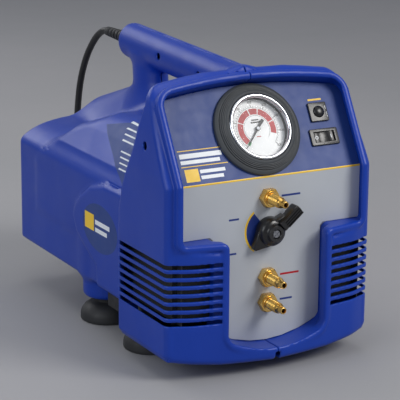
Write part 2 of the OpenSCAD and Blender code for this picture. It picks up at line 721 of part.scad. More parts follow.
module motor_stator() color([0.3, 0.3, 0.32]) drive() difference() {
    union() {
        rod_y(92, 160.05, 228);
        rod_y(82, 152, 238);
    }
    rod_y(51, 150, 240);
    // slots that separate the windings beyond the laminations
    for (a = [0:30:330], y = [151, 228.05]) rotate([0, a, 0]) translate([-1.5, y, 30]) cube([3, 10, 15]);
}

module motor_rotor() color([0.5, 0.5, 0.52]) drive() difference() {
    rod_y(49, 162, 226);
    rod_y(12.04, 160, 230);
    for (a = [0:45:315]) rotate([0, a, 0]) rod_y(6, 160, 166, 17);
}

module motor_end_bell() color([0.6, 0.61, 0.63]) drive() difference() {
    rod_y(92, 228.05, 246);
    rod_y(86, 227, 240);
    rod_y(12 + 2 * fit_gap, 230, 250);
    for (a = [0:60:300]) rotate([0, a, 0]) rod_y(12, 239, 250, 30);
}

module cooling_fan() color([0.1, 0.1, 0.1]) drive() {
    difference() {
        rod_y(26, 262, 284);
        rod_y(12.04, 260, 290);
    }
    for (a = [0:60:300]) rotate([0, a, 0]) translate([0, 273, 12]) rotate([0, 0, 35])
        translate([-1, -11, 0]) cube([2, 22, fan_d / 2 - 13]);
}

// ---------- condenser and refrigerant circuit ----------

tube_rows = [72, 92, 112, 132];        // heights of the condenser's tubes

module condenser_core() color([0.72, 0.73, 0.75]) placed() {
    for (i = [0:24]) translate([-84 + i * 7 - 0.3, 318, 58]) cube([0.6, 24, 90]);
    for (x = [-88, 86]) translate([x, 314, 55]) cube([2, 32, 96]);
}

// Serpentine through the fins, worked out row by row with a round bend at each end.
function bend(x, side, z0, z1, n = 6) = [for (i = [0:n]) let (a = -90 + 180 * i / n)
    [x + side * (z1 - z0) / 2 * cos(a) * 0.5, 330, (z0 + z1) / 2 + (z1 - z0) / 2 * sin(a)]];

// End of the serpentine that turns forward beside the core.
function tail(z) = [[-94, 304, z], [-94, 318, z], [-92.5, 325.5, z], [-88, 329.5, z], [-82, 330, z]];
function reversed(p) = [for (i = [len(p) - 1:-1:0]) p[i]];

module condenser_tubes() color([0.72, 0.42, 0.25]) placed() tube(concat(tail(tube_rows[0]),
    bend(90, 1, tube_rows[0], tube_rows[1]), bend(-90, -1, tube_rows[1], tube_rows[2]),
    bend(90, 1, tube_rows[2], tube_rows[3]), reversed(tail(tube_rows[3]))), 7, 8, [1, 0, 0]);

module run_capacitor() color([0.75, 0.75, 0.77]) placed() {
    rod_y(34, 180, 244, -76, 76);
    for (x = [-82, -70]) translate([x - 3, 244, 75.5]) cube([6, 8, 1]);
}

module inlet_filter() color([0.55, 0.4, 0.22]) placed() {
    rod_y(26, 30, 74, 72, 63);
    rod_y(9, 22, 82, 72, 63);
}

module suction_line() color([0.75, 0.45, 0.28]) placed() {
    tube(smooth_path([[0, 20.2, suction_z], [1, 30, suction_z - 1], [16, 36, 61], [40, 30, 56], [56, 14, 58],
        [68, 8, 62], [72, 14, 63], [72, 21.6, 63]], 3), 6);
    tube(smooth_path([[72, 82.4, 63], [72, 91, 63], [76, 101, 58], [82, 109, 57], [84, 112, 63],
        [84, 112, 69.8]], 3), 6);
}

module discharge_line() color([0.75, 0.45, 0.28]) placed() {
    tube(smooth_path([[-84, 112, 136.2], [-84, 113, 142], [-86, 121, 147], [-90, 140, 148], [-93, 200, 145],
        [-94, 270, 136], [-94, 303.8, 132]], 3), 6);
    tube(smooth_path([[-94, 303.8, 72], [-95, 280, 67], [-95, 240, 62], [-94, 170, 60], [-92, 80, 57],
        [-60, 40, 70], [-20, 42, 88], [0, 30, 90], [0, 20.2, discharge_z]], 3), 6);
}

module inner_lead() color([0.06, 0.06, 0.06]) placed() tube(smooth_path([[0, 287.8, 275], [0, 276, 273],
    [0, 240, 263], [0, 190, 260.5], [0, 120, 258.8], [0, 92, 258.4], [2, 76, 257.8], [8, 68, 252],
    [20, 67, 242], [33, 66, 227], [46, 60, 214], [60, 52, 205], [70, 43, 201.5], [72, 33, 207]], 3), 6.4);

// ---------- cord ----------

module strain_relief() color([0.05, 0.05, 0.05]) placed() translate([0, 0, bar_rear_z]) {
    rod_y(16.4, bar_rear_y - 5.9, bar_rear_y);
    translate([0, 350, 0]) rotate([90, 0, 0]) difference() {
        cylinder(d1 = 10, d2 = 14.6, h = 350 - bar_rear_y);
        for (i = [0:5]) translate([0, 0, 5 + i * 8]) difference() {
            cylinder(d = 18, h = 3);
            translate([0, 0, -1]) cylinder(d = 9, h = 5);
        }
    }
}

// Route of the cord from the strain relief down to the coil on the floor.
cord_route = [[0, 350, 275], [0, 362, 273], [0, 377, 265], [0, 392, 252], [0, 405, 237], [0, 416, 219],
    [0, 424, 200], [0, 429, 180], [0, 432, 160], [0.3, 434, 140], [0.8, 436, 120], [1.4, 438, 100],
    [2, 440, 80], [2.6, 441, 60], [3, 440, 42], [3.25, 436, 26], [3.25, 427, 13], [3.25, 416, 6],
    [3.25, 410, 4]];

module power_cord() color([0.05, 0.05, 0.05]) placed() tube(smooth_path(cord_route, 2), cord_d, 8, [1, 0, 0]);

// Outer shape of the coil: a flat spiral inwards and a second one outwards on top of it.
module cord_coil() color([0.05, 0.05, 0.05]) placed() translate([coil_c[0], coil_c[1], 0]) difference() {
    cylinder(r = coil_r + 9.75 + cord_d / 2, h = 15.3);
    translate([0, 0, -1]) cylinder(r = coil_r - 10 - cord_d / 2, h = 20);
}

// Short end of the cord from the top of the coil to the plug.
tail_route = [[106.75, 410, 11.5], [106.6, 424, 11.6], [105, 438, 12], [102, 450, 12], [100, 462, 12],
    [99.5, 474, 12]];

module cord_tail() color([0.05, 0.05, 0.05]) placed() tube(smooth_path(tail_route, 2), cord_d, 8, [1, 0, 0]);

module plug_body() color([0.05, 0.05, 0.05]) placed() translate([99.5, 474, 12]) {
    rotate([-90, 0, 0]) cylinder(d1 = 10, d2 = 15, h = 22);
    translate([0, 36, 0]) cube([25, 29, 21], center = true);
}

module plug_pins() color([0.8, 0.72, 0.45]) placed() translate([99.5, 524.5, 12]) {
    for (x = [-6.35, 6.35]) translate([x - 0.75, 0, -1]) cube([1.5, 17, 6.3]);
    translate([0, 0, -6]) rotate([-90, 0, 0]) cylinder(d = 4.8, h = 19);
}

left_housing();
right_housing();
base_plate();
front_panel();
panel_overlay();
foot_front_left();
foot_front_right();
foot_rear_left();
foot_rear_right();
base_screws();
panel_screws();
handle_screws();
rear_grille();
grille_screws();
gauge_boot();
gauge_case();
gauge_bezel();
gauge_lens();
gauge_dial();
gauge_pointer();
gauge_movement();
gauge_stem();
switch_housing();
switch_rocker();
breaker_housing();
breaker_button();
purge_port();
discharge_port();
suction_port();
port_nuts();
selector_knob();
knob_screw();
valve_stem();
valve_body();
strain_relief();
crankcase();
left_cylinder();
right_cylinder();
left_head();
right_head();
piston_yoke();
crankshaft();
front_bearing();
rear_bearing();
motor_stator();
motor_rotor();
motor_end_bell();
cooling_fan();
condenser_core();
condenser_tubes();
run_capacitor();
inlet_filter();
suction_line();
discharge_line();
inner_lead();
power_cord();
cord_coil();
cord_tail();
plug_body();
plug_pins();
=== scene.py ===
"""Portable refrigerant recovery machine: the looks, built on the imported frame."""
import json
import math

import bmesh
import bpy
import numpy as np
from mathutils import Matrix, Vector


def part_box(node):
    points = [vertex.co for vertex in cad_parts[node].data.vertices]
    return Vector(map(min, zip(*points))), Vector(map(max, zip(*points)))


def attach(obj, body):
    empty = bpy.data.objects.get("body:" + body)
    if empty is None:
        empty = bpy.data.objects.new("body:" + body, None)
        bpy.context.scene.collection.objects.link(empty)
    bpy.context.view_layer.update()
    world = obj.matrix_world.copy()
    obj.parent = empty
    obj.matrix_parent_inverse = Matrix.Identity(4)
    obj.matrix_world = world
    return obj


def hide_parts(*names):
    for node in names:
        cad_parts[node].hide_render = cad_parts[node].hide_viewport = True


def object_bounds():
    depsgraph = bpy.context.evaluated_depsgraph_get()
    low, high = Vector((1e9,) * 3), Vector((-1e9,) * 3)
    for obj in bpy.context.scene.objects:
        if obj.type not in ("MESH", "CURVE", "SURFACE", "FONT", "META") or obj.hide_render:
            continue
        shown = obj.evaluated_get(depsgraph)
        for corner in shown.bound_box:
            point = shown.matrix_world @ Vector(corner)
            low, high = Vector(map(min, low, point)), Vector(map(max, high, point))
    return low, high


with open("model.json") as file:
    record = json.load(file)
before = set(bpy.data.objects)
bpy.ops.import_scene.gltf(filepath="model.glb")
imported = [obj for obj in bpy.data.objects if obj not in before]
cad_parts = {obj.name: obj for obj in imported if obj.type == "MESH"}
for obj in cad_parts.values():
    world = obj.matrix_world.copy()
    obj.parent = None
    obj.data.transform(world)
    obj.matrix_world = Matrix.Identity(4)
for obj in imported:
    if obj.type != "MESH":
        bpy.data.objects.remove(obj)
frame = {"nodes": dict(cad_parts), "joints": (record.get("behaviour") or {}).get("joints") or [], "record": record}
CAD_BOX = [list(corner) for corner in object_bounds()]
NODES, RECORD = frame["nodes"], frame["record"]
MM = 0.001

# ---------- places taken from the frame ----------


def joint(name):
    return next(j for j in frame["joints"] if j["name"] == name)


def middle(node):
    low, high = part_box(node)
    return (low + high) / 2


PANEL_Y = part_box("front_panel")[0].y           # plane of the lower panel
REAR_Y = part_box("left_housing")[1].y           # rear face
HALF_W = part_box("right_housing")[1].x          # half width of the front shell
LEAN = math.acos(-joint("reset_travel")["axis"][1])
GAUGE = Vector(joint("pointer_sweep")["pos_m"])
KNOB = Vector(joint("selector_turn")["pos_m"])
BAR_Z = middle("strain_relief").z
FOOT_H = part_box("foot_front_left")[1].z

UP_V = Vector((0, math.sin(LEAN), math.cos(LEAN)))       # up the leaning panel
UP_N = Vector((0, -math.cos(LEAN), math.sin(LEAN)))      # out of the leaning panel
BEND_Z = GAUGE.z - (GAUGE.y - PANEL_Y) / math.tan(LEAN)  # where the panel starts to lean


def basis(origin, u, v, n):
    m = Matrix.Identity(4)
    for i, axis in enumerate((u, v, n)):
        for k in range(3):
            m[k][i] = axis[k]
    m.translation = Vector(origin)
    return m


def low_frame(x, z):
    return basis((x, PANEL_Y, z), (1, 0, 0), (0, 0, 1), (0, -1, 0))


def up_frame(x, s):
    return basis(Vector((x, PANEL_Y, BEND_Z)) + UP_V * s, (1, 0, 0), UP_V, UP_N)


def floor_frame(x, y, z=0.0):
    return basis((x, y, z), (1, 0, 0), (0, 1, 0), (0, 0, 1))


# ---------- materials ----------

def srgb(r, g, b):
    """Linear colour from screen values of 0 to 255."""
    return tuple(((c / 255 + 0.055) / 1.055) ** 2.4 if c > 10 else c / 3295 for c in (r, g, b)) + (1.0,)


def material(name, colour, rough=(0.4, 0.5), other=None, patches=8.0, grain=(0.0, 900.0),
             metal=0.0, coat=0.0, ior=1.5, wear=None, stretch=(1, 1, 1)):
    """Principled material whose colour, roughness and relief come from noise in object space.

    patches is the scale of the colour variation, grain is (strength, scale) of the relief, wear is the colour that
    shows on raised edges: worn edges on the brass and black plastic, a painted highlight on the blue moulding."""
    m = bpy.data.materials.new(name)
    m.use_nodes = True
    m.diffuse_color = colour
    nt = m.node_tree
    shader = nt.nodes["Principled BSDF"]
    shader.inputs["Metallic"].default_value = metal
    shader.inputs["IOR"].default_value = ior
    shader.inputs["Coat Weight"].default_value = coat
    shader.inputs["Coat Roughness"].default_value = 0.2
    place = nt.nodes.new("ShaderNodeTexCoord")
    scaled = nt.nodes.new("ShaderNodeMapping")
    scaled.inputs["Scale"].default_value = stretch
    nt.links.new(place.outputs["Object"], scaled.inputs["Vector"])

    def noise(scale, detail=3.0):
        n = nt.nodes.new("ShaderNodeTexNoise")
        n.inputs["Scale"].default_value = scale
        n.inputs["Detail"].default_value = detail
        nt.links.new(scaled.outputs["Vector"], n.inputs["Vector"])
        return n.outputs["Fac"]

    def ramp(fac, low, high, a, b):
        r = nt.nodes.new("ShaderNodeMapRange")
        r.inputs["From Min"].default_value = low
        r.inputs["From Max"].default_value = high
        r.inputs["To Min"].default_value = a
        r.inputs["To Max"].default_value = b
        nt.links.new(fac, r.inputs["Value"])
        return r.outputs["Result"]

    cloud = noise(patches)
    mix = nt.nodes.new("ShaderNodeMix")
    mix.data_type = "RGBA"
    mix.inputs[6].default_value = colour
    mix.inputs[7].default_value = other or tuple(min(1, c * 1.25) for c in colour[:3]) + (1,)
    nt.links.new(ramp(cloud, 0.35, 0.65, 0.0, 1.0), mix.inputs[0])
    out = mix.outputs[2]
    # raised edges are tinted lighter by pointiness: worn edges on brass and black plastic, a painted highlight on
    # the blue moulding
    if wear:
        edge = nt.nodes.new("ShaderNodeNewGeometry")
        worn_and_lit_edge = nt.nodes.new("ShaderNodeMix")
        worn_and_lit_edge.data_type = "RGBA"
        worn_and_lit_edge.inputs[7].default_value = wear
        nt.links.new(out, worn_and_lit_edge.inputs[6])
        nt.links.new(ramp(edge.outputs["Pointiness"], 0.53, 0.6, 0.0, 0.5), worn_and_lit_edge.inputs[0])
        out = worn_and_lit_edge.outputs[2]
    nt.links.new(out, shader.inputs["Base Color"])
    nt.links.new(ramp(noise(patches * 6), 0.3, 0.7, rough[0], rough[1]), shader.inputs["Roughness"])
    if grain[0]:
        bump = nt.nodes.new("ShaderNodeBump")
        bump.inputs["Strength"].default_value = grain[0]
        bump.inputs["Distance"].default_value = 0.0002
        nt.links.new(noise(grain[1], 2.0), bump.inputs["Height"])
        nt.links.new(bump.outputs["Normal"], shader.inputs["Normal"])
    return m


# the lighter blue on its raised edges is a painted highlight, where the edges would catch the light
BLUE = material("blue_moulding", srgb(10, 55, 160), (0.32, 0.42), srgb(13, 60, 168), 5, (0.22, 1400),
                ior=1.42, wear=srgb(50, 92, 200))
PANEL_BLUE = material("panel_blue", srgb(30, 60, 128), (0.46, 0.55), srgb(34, 65, 134), 12, (0.25, 1800))
PANEL_GREY = material("panel_grey", srgb(182, 187, 194), (0.36, 0.45), srgb(188, 193, 199), 12,
                      (0.25, 1800))
YELLOW = material("print_yellow", srgb(244, 198, 40), (0.4, 0.5), srgb(248, 206, 60), 30)
WHITE = material("print_white", srgb(236, 240, 244), (0.4, 0.5), srgb(226, 232, 238), 30)
NAVY = material("print_navy", srgb(24, 50, 125), (0.4, 0.5), srgb(30, 58, 136), 30)
RED = material("print_red", srgb(176, 0, 20), (0.4, 0.5), srgb(184, 4, 26), 30)
GREEN = material("print_green", srgb(40, 150, 80), (0.4, 0.5), srgb(50, 160, 90), 30)
BLACK_PRINT = material("print_black", srgb(18, 18, 20), (0.4, 0.5), srgb(26, 26, 28), 30)
DIAL = material("dial_enamel", srgb(238, 240, 240), (0.3, 0.38), srgb(230, 233, 234), 20)
RUBBER = material("black_rubber", srgb(34, 35, 37), (0.5, 0.66), srgb(42, 43, 45), 14, (0.35, 1100))
PLASTIC = material("black_plastic", srgb(14, 14, 16), (0.26, 0.38), srgb(19, 19, 21), 18, (0.2, 1500),
                   coat=0.2, wear=srgb(52, 52, 54))
CORD = material("cord_jacket", srgb(22, 22, 23), (0.42, 0.55), srgb(30, 30, 31), 18, (0.3, 1200))
BRASS = material("turned_brass", srgb(242, 200, 112), (0.2, 0.34), srgb(232, 184, 92), 60, (0.12, 1600),
                 metal=1.0, wear=srgb(250, 214, 140))
CHROME = material("polished_chrome", srgb(214, 216, 220), (0.06, 0.16), srgb(200, 203, 208), 40,
                  metal=1.0)
ZINC = material("bright_zinc", srgb(168, 170, 176), (0.25, 0.42), srgb(150, 153, 160), 50, (0.15, 900),
                metal=1.0)
BLACK_STEEL = material("powder_coat", srgb(30, 30, 32), (0.42, 0.56), srgb(36, 36, 38), 20, (0.5, 1300))
CAST = material("cast_aluminium", srgb(150, 153, 158), (0.45, 0.62), srgb(132, 135, 141), 25, (0.8, 700),
                metal=0.85)
MOTOR = material("laminated_steel", srgb(96, 94, 92), (0.4, 0.55), srgb(80, 77, 75), 30, (0.5, 1000),
                 metal=0.8, stretch=(1, 12, 1))
COPPER = material("drawn_copper", srgb(196, 122, 84), (0.25, 0.42), srgb(176, 102, 68), 40, (0.2, 900),
                  metal=1.0)
SHEET = material("satin_steel", srgb(150, 152, 156), (0.35, 0.5), srgb(138, 141, 146), 30, (0.2, 1000),
                 metal=0.8)
CHARCOAL_RUBBER = material("gauge_rubber", srgb(60, 64, 68), (0.42, 0.55), srgb(66, 70, 74), 14,
                           (0.3, 1100))


def glass():
    m = bpy.data.materials.new("clear_lens")
    m.use_nodes = True
    nt = m.node_tree
    shader = nt.nodes["Principled BSDF"]
    shader.inputs["Base Color"].default_value = (0.95, 0.97, 0.98, 1)
    shader.inputs["IOR"].default_value = 1.3
    shader.inputs["Alpha"].default_value = 0.04
    smear = nt.nodes.new("ShaderNodeTexNoise")
    smear.inputs["Scale"].default_value = 60
    level = nt.nodes.new("ShaderNodeMapRange")
    level.inputs["To Min"].default_value = 0.02
    level.inputs["To Max"].default_value = 0.08
    nt.links.new(smear.outputs["Fac"], level.inputs["Value"])
    nt.links.new(level.outputs["Result"], shader.inputs["Roughness"])
    return m


GLASS = glass()
SLOT_LOOK = {"blue_housing": BLUE, "black_steel": BLACK_STEEL, "panel_sheet": SHEET,
             "panel_overlay": PANEL_GREY, "black_rubber": RUBBER, "zinc_steel": ZINC,
             "black_screw": BLACK_STEEL, "chrome": CHROME, "lens": GLASS, "dial": DIAL,
             "pointer": BLACK_PRINT, "brass": BRASS, "black_plastic": PLASTIC,
             "cast_aluminium": CAST, "motor_steel": MOTOR, "copper": COPPER}
NODE_SLOT = {part["node"]: part["material_slot"] for part in RECORD["subparts"]}
# A look with its slot, for the calls below.
MOULDED = (PLASTIC, "black_plastic")
TURNED = (BRASS, "brass")
GUM = (RUBBER, "black_rubber")
COATED = (BLACK_STEEL, "black_steel")


def dress_cad_nodes():
    for name, obj in NODES.items():
        look = SLOT_LOOK[NODE_SLOT[name]]
        if not obj.material_slots:
            obj.data.materials.append(look)
        for place in obj.material_slots:
            place.material = look


# ---------- mesh helpers ----------

def piece(name, verts, faces, look, slot, body="machine", smooth=True, sharp=None):
    """A mesh object in the row frame, from points in metres."""
    mesh = bpy.data.meshes.new(name)
    mesh.from_pydata([tuple(v) for v in verts], [], [tuple(f) for f in faces])
    mesh.validate()
    mesh.materials.append(look)
    obj = bpy.data.objects.new(name, mesh)
    bpy.context.scene.collection.objects.link(obj)
    for face in mesh.polygons:
        face.use_smooth = smooth
    if sharp is not None:
        mesh.set_sharp_from_angle(angle=math.radians(sharp))
    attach(obj, body)
    return obj


def bevel(obj, width, segments=3, angle=40):
    """Rounds the sharp edges of a piece and keeps the result as its mesh."""
    rounder = obj.modifiers.new("rounding", "BEVEL")
    rounder.width = width
    rounder.segments = segments
    rounder.limit_method = "ANGLE"
    rounder.angle_limit = math.radians(angle)
    rounder.harden_normals = False
    return applied(obj)


def applied(obj):
    graph = bpy.context.evaluated_depsgraph_get()
    mesh = bpy.data.meshes.new_from_object(obj.evaluated_get(graph))
    obj.modifiers.clear()
    old = obj.data
    obj.data = mesh
    mesh.name = obj.name
    bpy.data.meshes.remove(old)
    for face in mesh.polygons:
        face.use_smooth = True
    mesh.set_sharp_from_angle(angle=math.radians(35))
    return obj


def lathe(name, profile, place, look, slot, body="machine", steps=96, closed=True, sharp=28):
    """Turns (radius, height) points, in millimetres, about a frame's third axis."""
    verts, faces = [], []
    for r, h in profile:
        for k in range(steps):
            a = 2 * math.pi * k / steps
            verts.append(place @ Vector((r * math.cos(a) * MM, r * math.sin(a) * MM, h * MM)))
    rows = len(profile)
    for i in range(rows if closed else rows - 1):
        j = (i + 1) % rows
        if profile[i][0] == 0 and profile[j][0] == 0:
            continue
        for k in range(steps):
            m = (k + 1) % steps
            faces.append((i * steps + k, i * steps + m, j * steps + m, j * steps + k))
    obj = piece(name, verts, faces, look, slot, body)
    return tidy(obj, sharp)


def tidy(obj, sharp=28):
    """Joins doubled points, drops empty faces and turns the faces outward."""
    bm = bmesh.new()
    bm.from_mesh(obj.data)
    bmesh.ops.remove_doubles(bm, verts=bm.verts, dist=1e-6)
    bmesh.ops.dissolve_degenerate(bm, edges=bm.edges, dist=1e-7)
    bmesh.ops.recalc_face_normals(bm, faces=bm.faces)
    bm.to_mesh(obj.data)
    bm.free()
    for face in obj.data.polygons:
        face.use_smooth = True
    obj.data.set_sharp_from_angle(angle=math.radians(sharp))
    return obj


def prism(name, outline, n0, n1, place, look, slot, body="machine", rounding=0.0, segments=3):
    """Extrudes an outline, in millimetres, from n0 to n1 along a frame's third axis."""
    count = len(outline)
    verts = [place @ Vector((u * MM, v * MM, n * MM)) for n in (n0, n1) for u, v in outline]
    faces = [tuple(range(count))[::-1], tuple(range(count, 2 * count))]
    faces += [(i, (i + 1) % count, count + (i + 1) % count, count + i) for i in range(count)]
    obj = piece(name, verts, faces, look, slot, body, smooth=False)
    tidy(obj)
    if rounding:
        bevel(obj, rounding * MM, segments)
    return obj


def joined(name, parts):
    """Joins pieces of one body into one object."""
    with bpy.context.temp_override(active_object=parts[0], object=parts[0],
                                   selected_objects=parts, selected_editable_objects=parts):
        bpy.ops.object.join()
    parts[0].name = name
    parts[0].data.name = name
    return parts[0]


def rounded_rect(w, h, r, n=6):
    points = []
    for cx, cy, a0 in ((w / 2 - r, h / 2 - r, 0), (r - w / 2, h / 2 - r, 90),
                       (r - w / 2, r - h / 2, 180), (w / 2 - r, r - h / 2, 270)):
        for i in range(n + 1):
            a = math.radians(a0 + 90 * i / n)
            points.append((cx + r * math.cos(a), cy + r * math.sin(a)))
    return points


def sector(r0, r1, a0, a1, n=24):
    angles = [math.radians(a0 + (a1 - a0) * i / n) for i in range(n + 1)]
    return [(r1 * math.cos(a), r1 * math.sin(a)) for a in angles] + \
           [(r0 * math.cos(a), r0 * math.sin(a)) for a in reversed(angles)]


def strip(w, h, x=0.0, y=0.0, turn=0.0):
    """Rectangle of w by h about (x, y), turned by some degrees about the frame's origin."""
    c, s = math.cos(math.radians(turn)), math.sin(math.radians(turn))
    corners = [(x - w / 2, y - h / 2), (x + w / 2, y - h / 2), (x + w / 2, y + h / 2), (x - w / 2, y + h / 2)]
    return [(c * u - s * v, s * u + c * v) for u, v in corners]


# ---------- camera, lights and floor ----------

VIEW_AZIMUTH, VIEW_ELEVATION, VIEW_ROLL = 28.738, 15.238, 0.489
VIEW_TARGET, VIEW_DISTANCE, VIEW_LENS = (0.0115, -0.0084, 0.1272), 1.9, 164.63


def make_camera():
    a, e, r = (math.radians(x) for x in (VIEW_AZIMUTH, VIEW_ELEVATION, VIEW_ROLL))
    ahead = Vector((math.sin(a) * math.cos(e), math.cos(a) * math.cos(e), -math.sin(e)))
    right = Vector((math.cos(a), -math.sin(a), 0))
    up = right.cross(ahead)
    tilted = right * math.cos(r) + up * math.sin(r)
    lens = bpy.data.cameras.new("view")
    lens.lens = VIEW_LENS
    lens.sensor_width = 36
    lens.clip_start = 0.05
    eye = bpy.data.objects.new("view", lens)
    eye.matrix_world = basis(Vector(VIEW_TARGET) - ahead * VIEW_DISTANCE, tilted,
                             tilted.cross(ahead), -ahead)
    bpy.context.scene.collection.objects.link(eye)
    bpy.context.scene.camera = eye


def area_light(name, place, target, size, power, colour=(1, 1, 1)):
    data = bpy.data.lights.new(name, "AREA")
    data.shape = "RECTANGLE"
    data.size, data.size_y = size
    data.energy = power
    data.color = colour
    lamp = bpy.data.objects.new(name, data)
    lamp.location = place
    lamp.rotation_euler = (Vector(target) - Vector(place)).to_track_quat("-Z", "Y").to_euler()
    bpy.context.scene.collection.objects.link(lamp)


def make_studio():
    area_light("key", (0.9, -1.5, 1.5), (0, 0, 0.15), (0.9, 0.9), 27, (1.0, 0.98, 0.95))
    area_light("fill", (-1.7, -0.5, 0.9), (0, 0.05, 0.15), (1.3, 1.0), 11, (0.92, 0.96, 1.0))
    area_light("top", (0.0, 0.3, 1.7), (0, 0.05, 0.1), (1.2, 1.2), 6)
    area_light("rim", (-0.5, 1.7, 1.0), (0, 0.1, 0.15), (1.2, 0.6), 6)
    world = bpy.data.worlds.new("studio")
    world.use_nodes = True
    world.node_tree.nodes["Background"].inputs["Color"].default_value = (0.86, 0.9, 1.0, 1)
    world.node_tree.nodes["Background"].inputs["Strength"].default_value = 0.32
    bpy.context.scene.world = world
    bpy.context.scene.view_settings.view_transform = "Standard"
    half = 6.0
    mesh = bpy.data.meshes.new("floor")
    mesh.from_pydata([(-half, -half, 0), (half, -half, 0), (half, half, 0), (-half, half, 0)], [],
                     [(0, 1, 2, 3)])
    mesh.materials.append(material("floor_paper", srgb(162, 161, 163), (0.7, 0.8),
                                   srgb(158, 158, 160), 2, (0.1, 300)))
    floor = bpy.data.objects.new("floor", mesh)
    bpy.context.scene.collection.objects.link(floor)


# ---------- cord ----------

CORD_D = 0.0075
COIL_CENTRE = (0.055, 0.246)
COIL_INNER, COIL_PITCH, COIL_TURNS_IN = 0.032, 0.0079, 2.5
LAYER_Z = (0.004, 0.0115)
# From the strain relief down to the coil, then from the coil to the plug.
ROUTE = [(0, 186, 275), (0, 198, 273), (0, 213, 265), (0, 228, 252), (0, 241, 237), (0, 252, 219),
         (0, 260, 200), (0, 265, 180), (0, 268, 160), (0.3, 270, 140), (0.8, 272, 120),
         (1.4, 274, 100), (2, 276, 80), (2.6, 277, 60), (3, 276, 42), (3.25, 272, 26),
         (3.25, 263, 13), (3.25, 252, 6)]
TAIL = [(106.6, 260, 11.6), (105, 274, 12), (102, 286, 12), (100, 298, 12), (99.5, 310, 12)]


def coil_points(per_turn=28):
    """Flat spiral inwards on the floor, up one layer, and outwards again on top of it."""
    outer = COIL_INNER + COIL_PITCH * COIL_TURNS_IN
    total = 2 * COIL_TURNS_IN + 0.5
    points = []
    count = int(total * per_turn)
    for i in range(count + 1):
        t = total * i / count
        inward = min(t, COIL_TURNS_IN)
        outward = max(0.0, t - COIL_TURNS_IN - 0.5)
        r = outer - COIL_PITCH * inward + COIL_PITCH * outward
        rise = min(1.0, max(0.0, (t - COIL_TURNS_IN) / 0.25))
        z = LAYER_Z[0] + (LAYER_Z[1] - LAYER_Z[0]) * (0.5 - 0.5 * math.cos(math.pi * rise))
        a = math.pi + 2 * math.pi * t
        points.append((COIL_CENTRE[0] + r * math.cos(a), COIL_CENTRE[1] + r * math.sin(a), z))
    return points


def smooth_path(points, n):
    """Points of a smooth curve through the given ones, n for each stretch."""
    p = np.array(points, float)
    out = []
    for i in range(len(p) - 1):
        a, b, c, d = p[max(i - 1, 0)], p[i], p[i + 1], p[min(i + 2, len(p) - 1)]
        for j in range(n):
            t = j / n
            out.append(0.5 * (2 * b + (c - a) * t + (2 * a - 5 * b + 4 * c - d) * t * t
                              + (3 * b - a - 3 * c + d) * t ** 3))
    out.append(p[-1])
    return out


def make_cord():
    to_m = lambda points: [tuple(MM * c for c in p) for p in points]
    path = smooth_path(to_m(ROUTE) + coil_points() + to_m(TAIL), 3)
    length = float(sum(np.linalg.norm(b - a) for a, b in zip(path, path[1:])))
    curve = bpy.data.curves.new("power_cord_lead", "CURVE")
    curve.dimensions = "3D"
    curve.bevel_depth = CORD_D / 2
    curve.bevel_resolution = 5
    curve.use_fill_caps = True
    spline = curve.splines.new("POLY")
    spline.points.add(len(path) - 1)
    spline.points.foreach_set("co", [c for p in path for c in (*p, 1.0)])
    spline.use_smooth = True
    curve.materials.append(CORD)
    lead = bpy.data.objects.new("power_cord_lead", curve)
    bpy.context.scene.collection.objects.link(lead)
    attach(lead, "machine")
    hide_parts("power_cord", "cord_coil", "cord_tail")
    return lead, length


def make_plug():
    """Moulded three-pin plug with a ribbed tail, and its pins."""
    low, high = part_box("plug_body")
    x, z = (low.x + high.x) / 2, (low.z + high.z) / 2
    along = basis((x, low.y, z), (1, 0, 0), (0, 0, -1), (0, 1, 0))
    length = (high.y - low.y) / MM
    tail = [(0, 0.2), (4.6, 0.2)]
    for i in range(5):
        h = 2 + 3.6 * i
        tail += [(4.9 + 0.42 * i, h), (4.9 + 0.42 * i, h + 2.1), (4.3 + 0.42 * i, h + 2.3),
                 (4.3 + 0.42 * i, h + 3.4)]
    tail += [(7.3, 20.5), (7.3, 23), (0, 23)]
    sleeve = lathe("plug_tail", tail, along, *MOULDED, steps=48, closed=False)
    body_outline = [(-7.2, 21.5), (-11.9, 29), (-12.4, 36), (-12.4, length - 2), (-11.6, length - 0.1),
                    (11.6, length - 0.1), (12.4, length - 2), (12.4, 36), (11.9, 29), (7.2, 21.5)]
    flat = basis((x, low.y, z), (1, 0, 0), (0, 1, 0), (0, 0, 1))
    block = prism("plug_moulding", body_outline, -10.3, 10.3, flat, *MOULDED,
                  rounding=3.2, segments=5)
    plug = joined("plug_moulding", [block, sleeve])
    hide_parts("plug_body")
    y0, y1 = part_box("plug_pins")[0].y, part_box("plug_pins")[1].y
    pins = []
    for side in (-1, 1):
        blade = basis((x + side * 6.35 * MM, y0, z + 2.15 * MM), (0, 0, 1), (0, 1, 0), (-1, 0, 0))
        reach = (y1 - y0) / MM - 2.05
        outline = [(-3.1, 0), (3.1, 0), (3.1, reach - 1.6), (1.8, reach), (-1.8, reach), (-3.1, reach - 1.6)]
        pins.append(prism(f"pin_{side}", outline, -0.74, 0.74, blade, *TURNED, rounding=0.3))
    ground = basis((x, y0, z - 6 * MM), (1, 0, 0), (0, 0, -1), (0, 1, 0))
    pins.append(lathe("pin_ground", [(0, 0), (2.38, 0), (2.38, 15.6), (1.9, 17.6), (1.1, 18.6), (0, 18.95)],
                      ground, *TURNED, steps=32, closed=False))
    contacts = joined("plug_contacts", pins)
    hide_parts("plug_pins")
    return plug, contacts


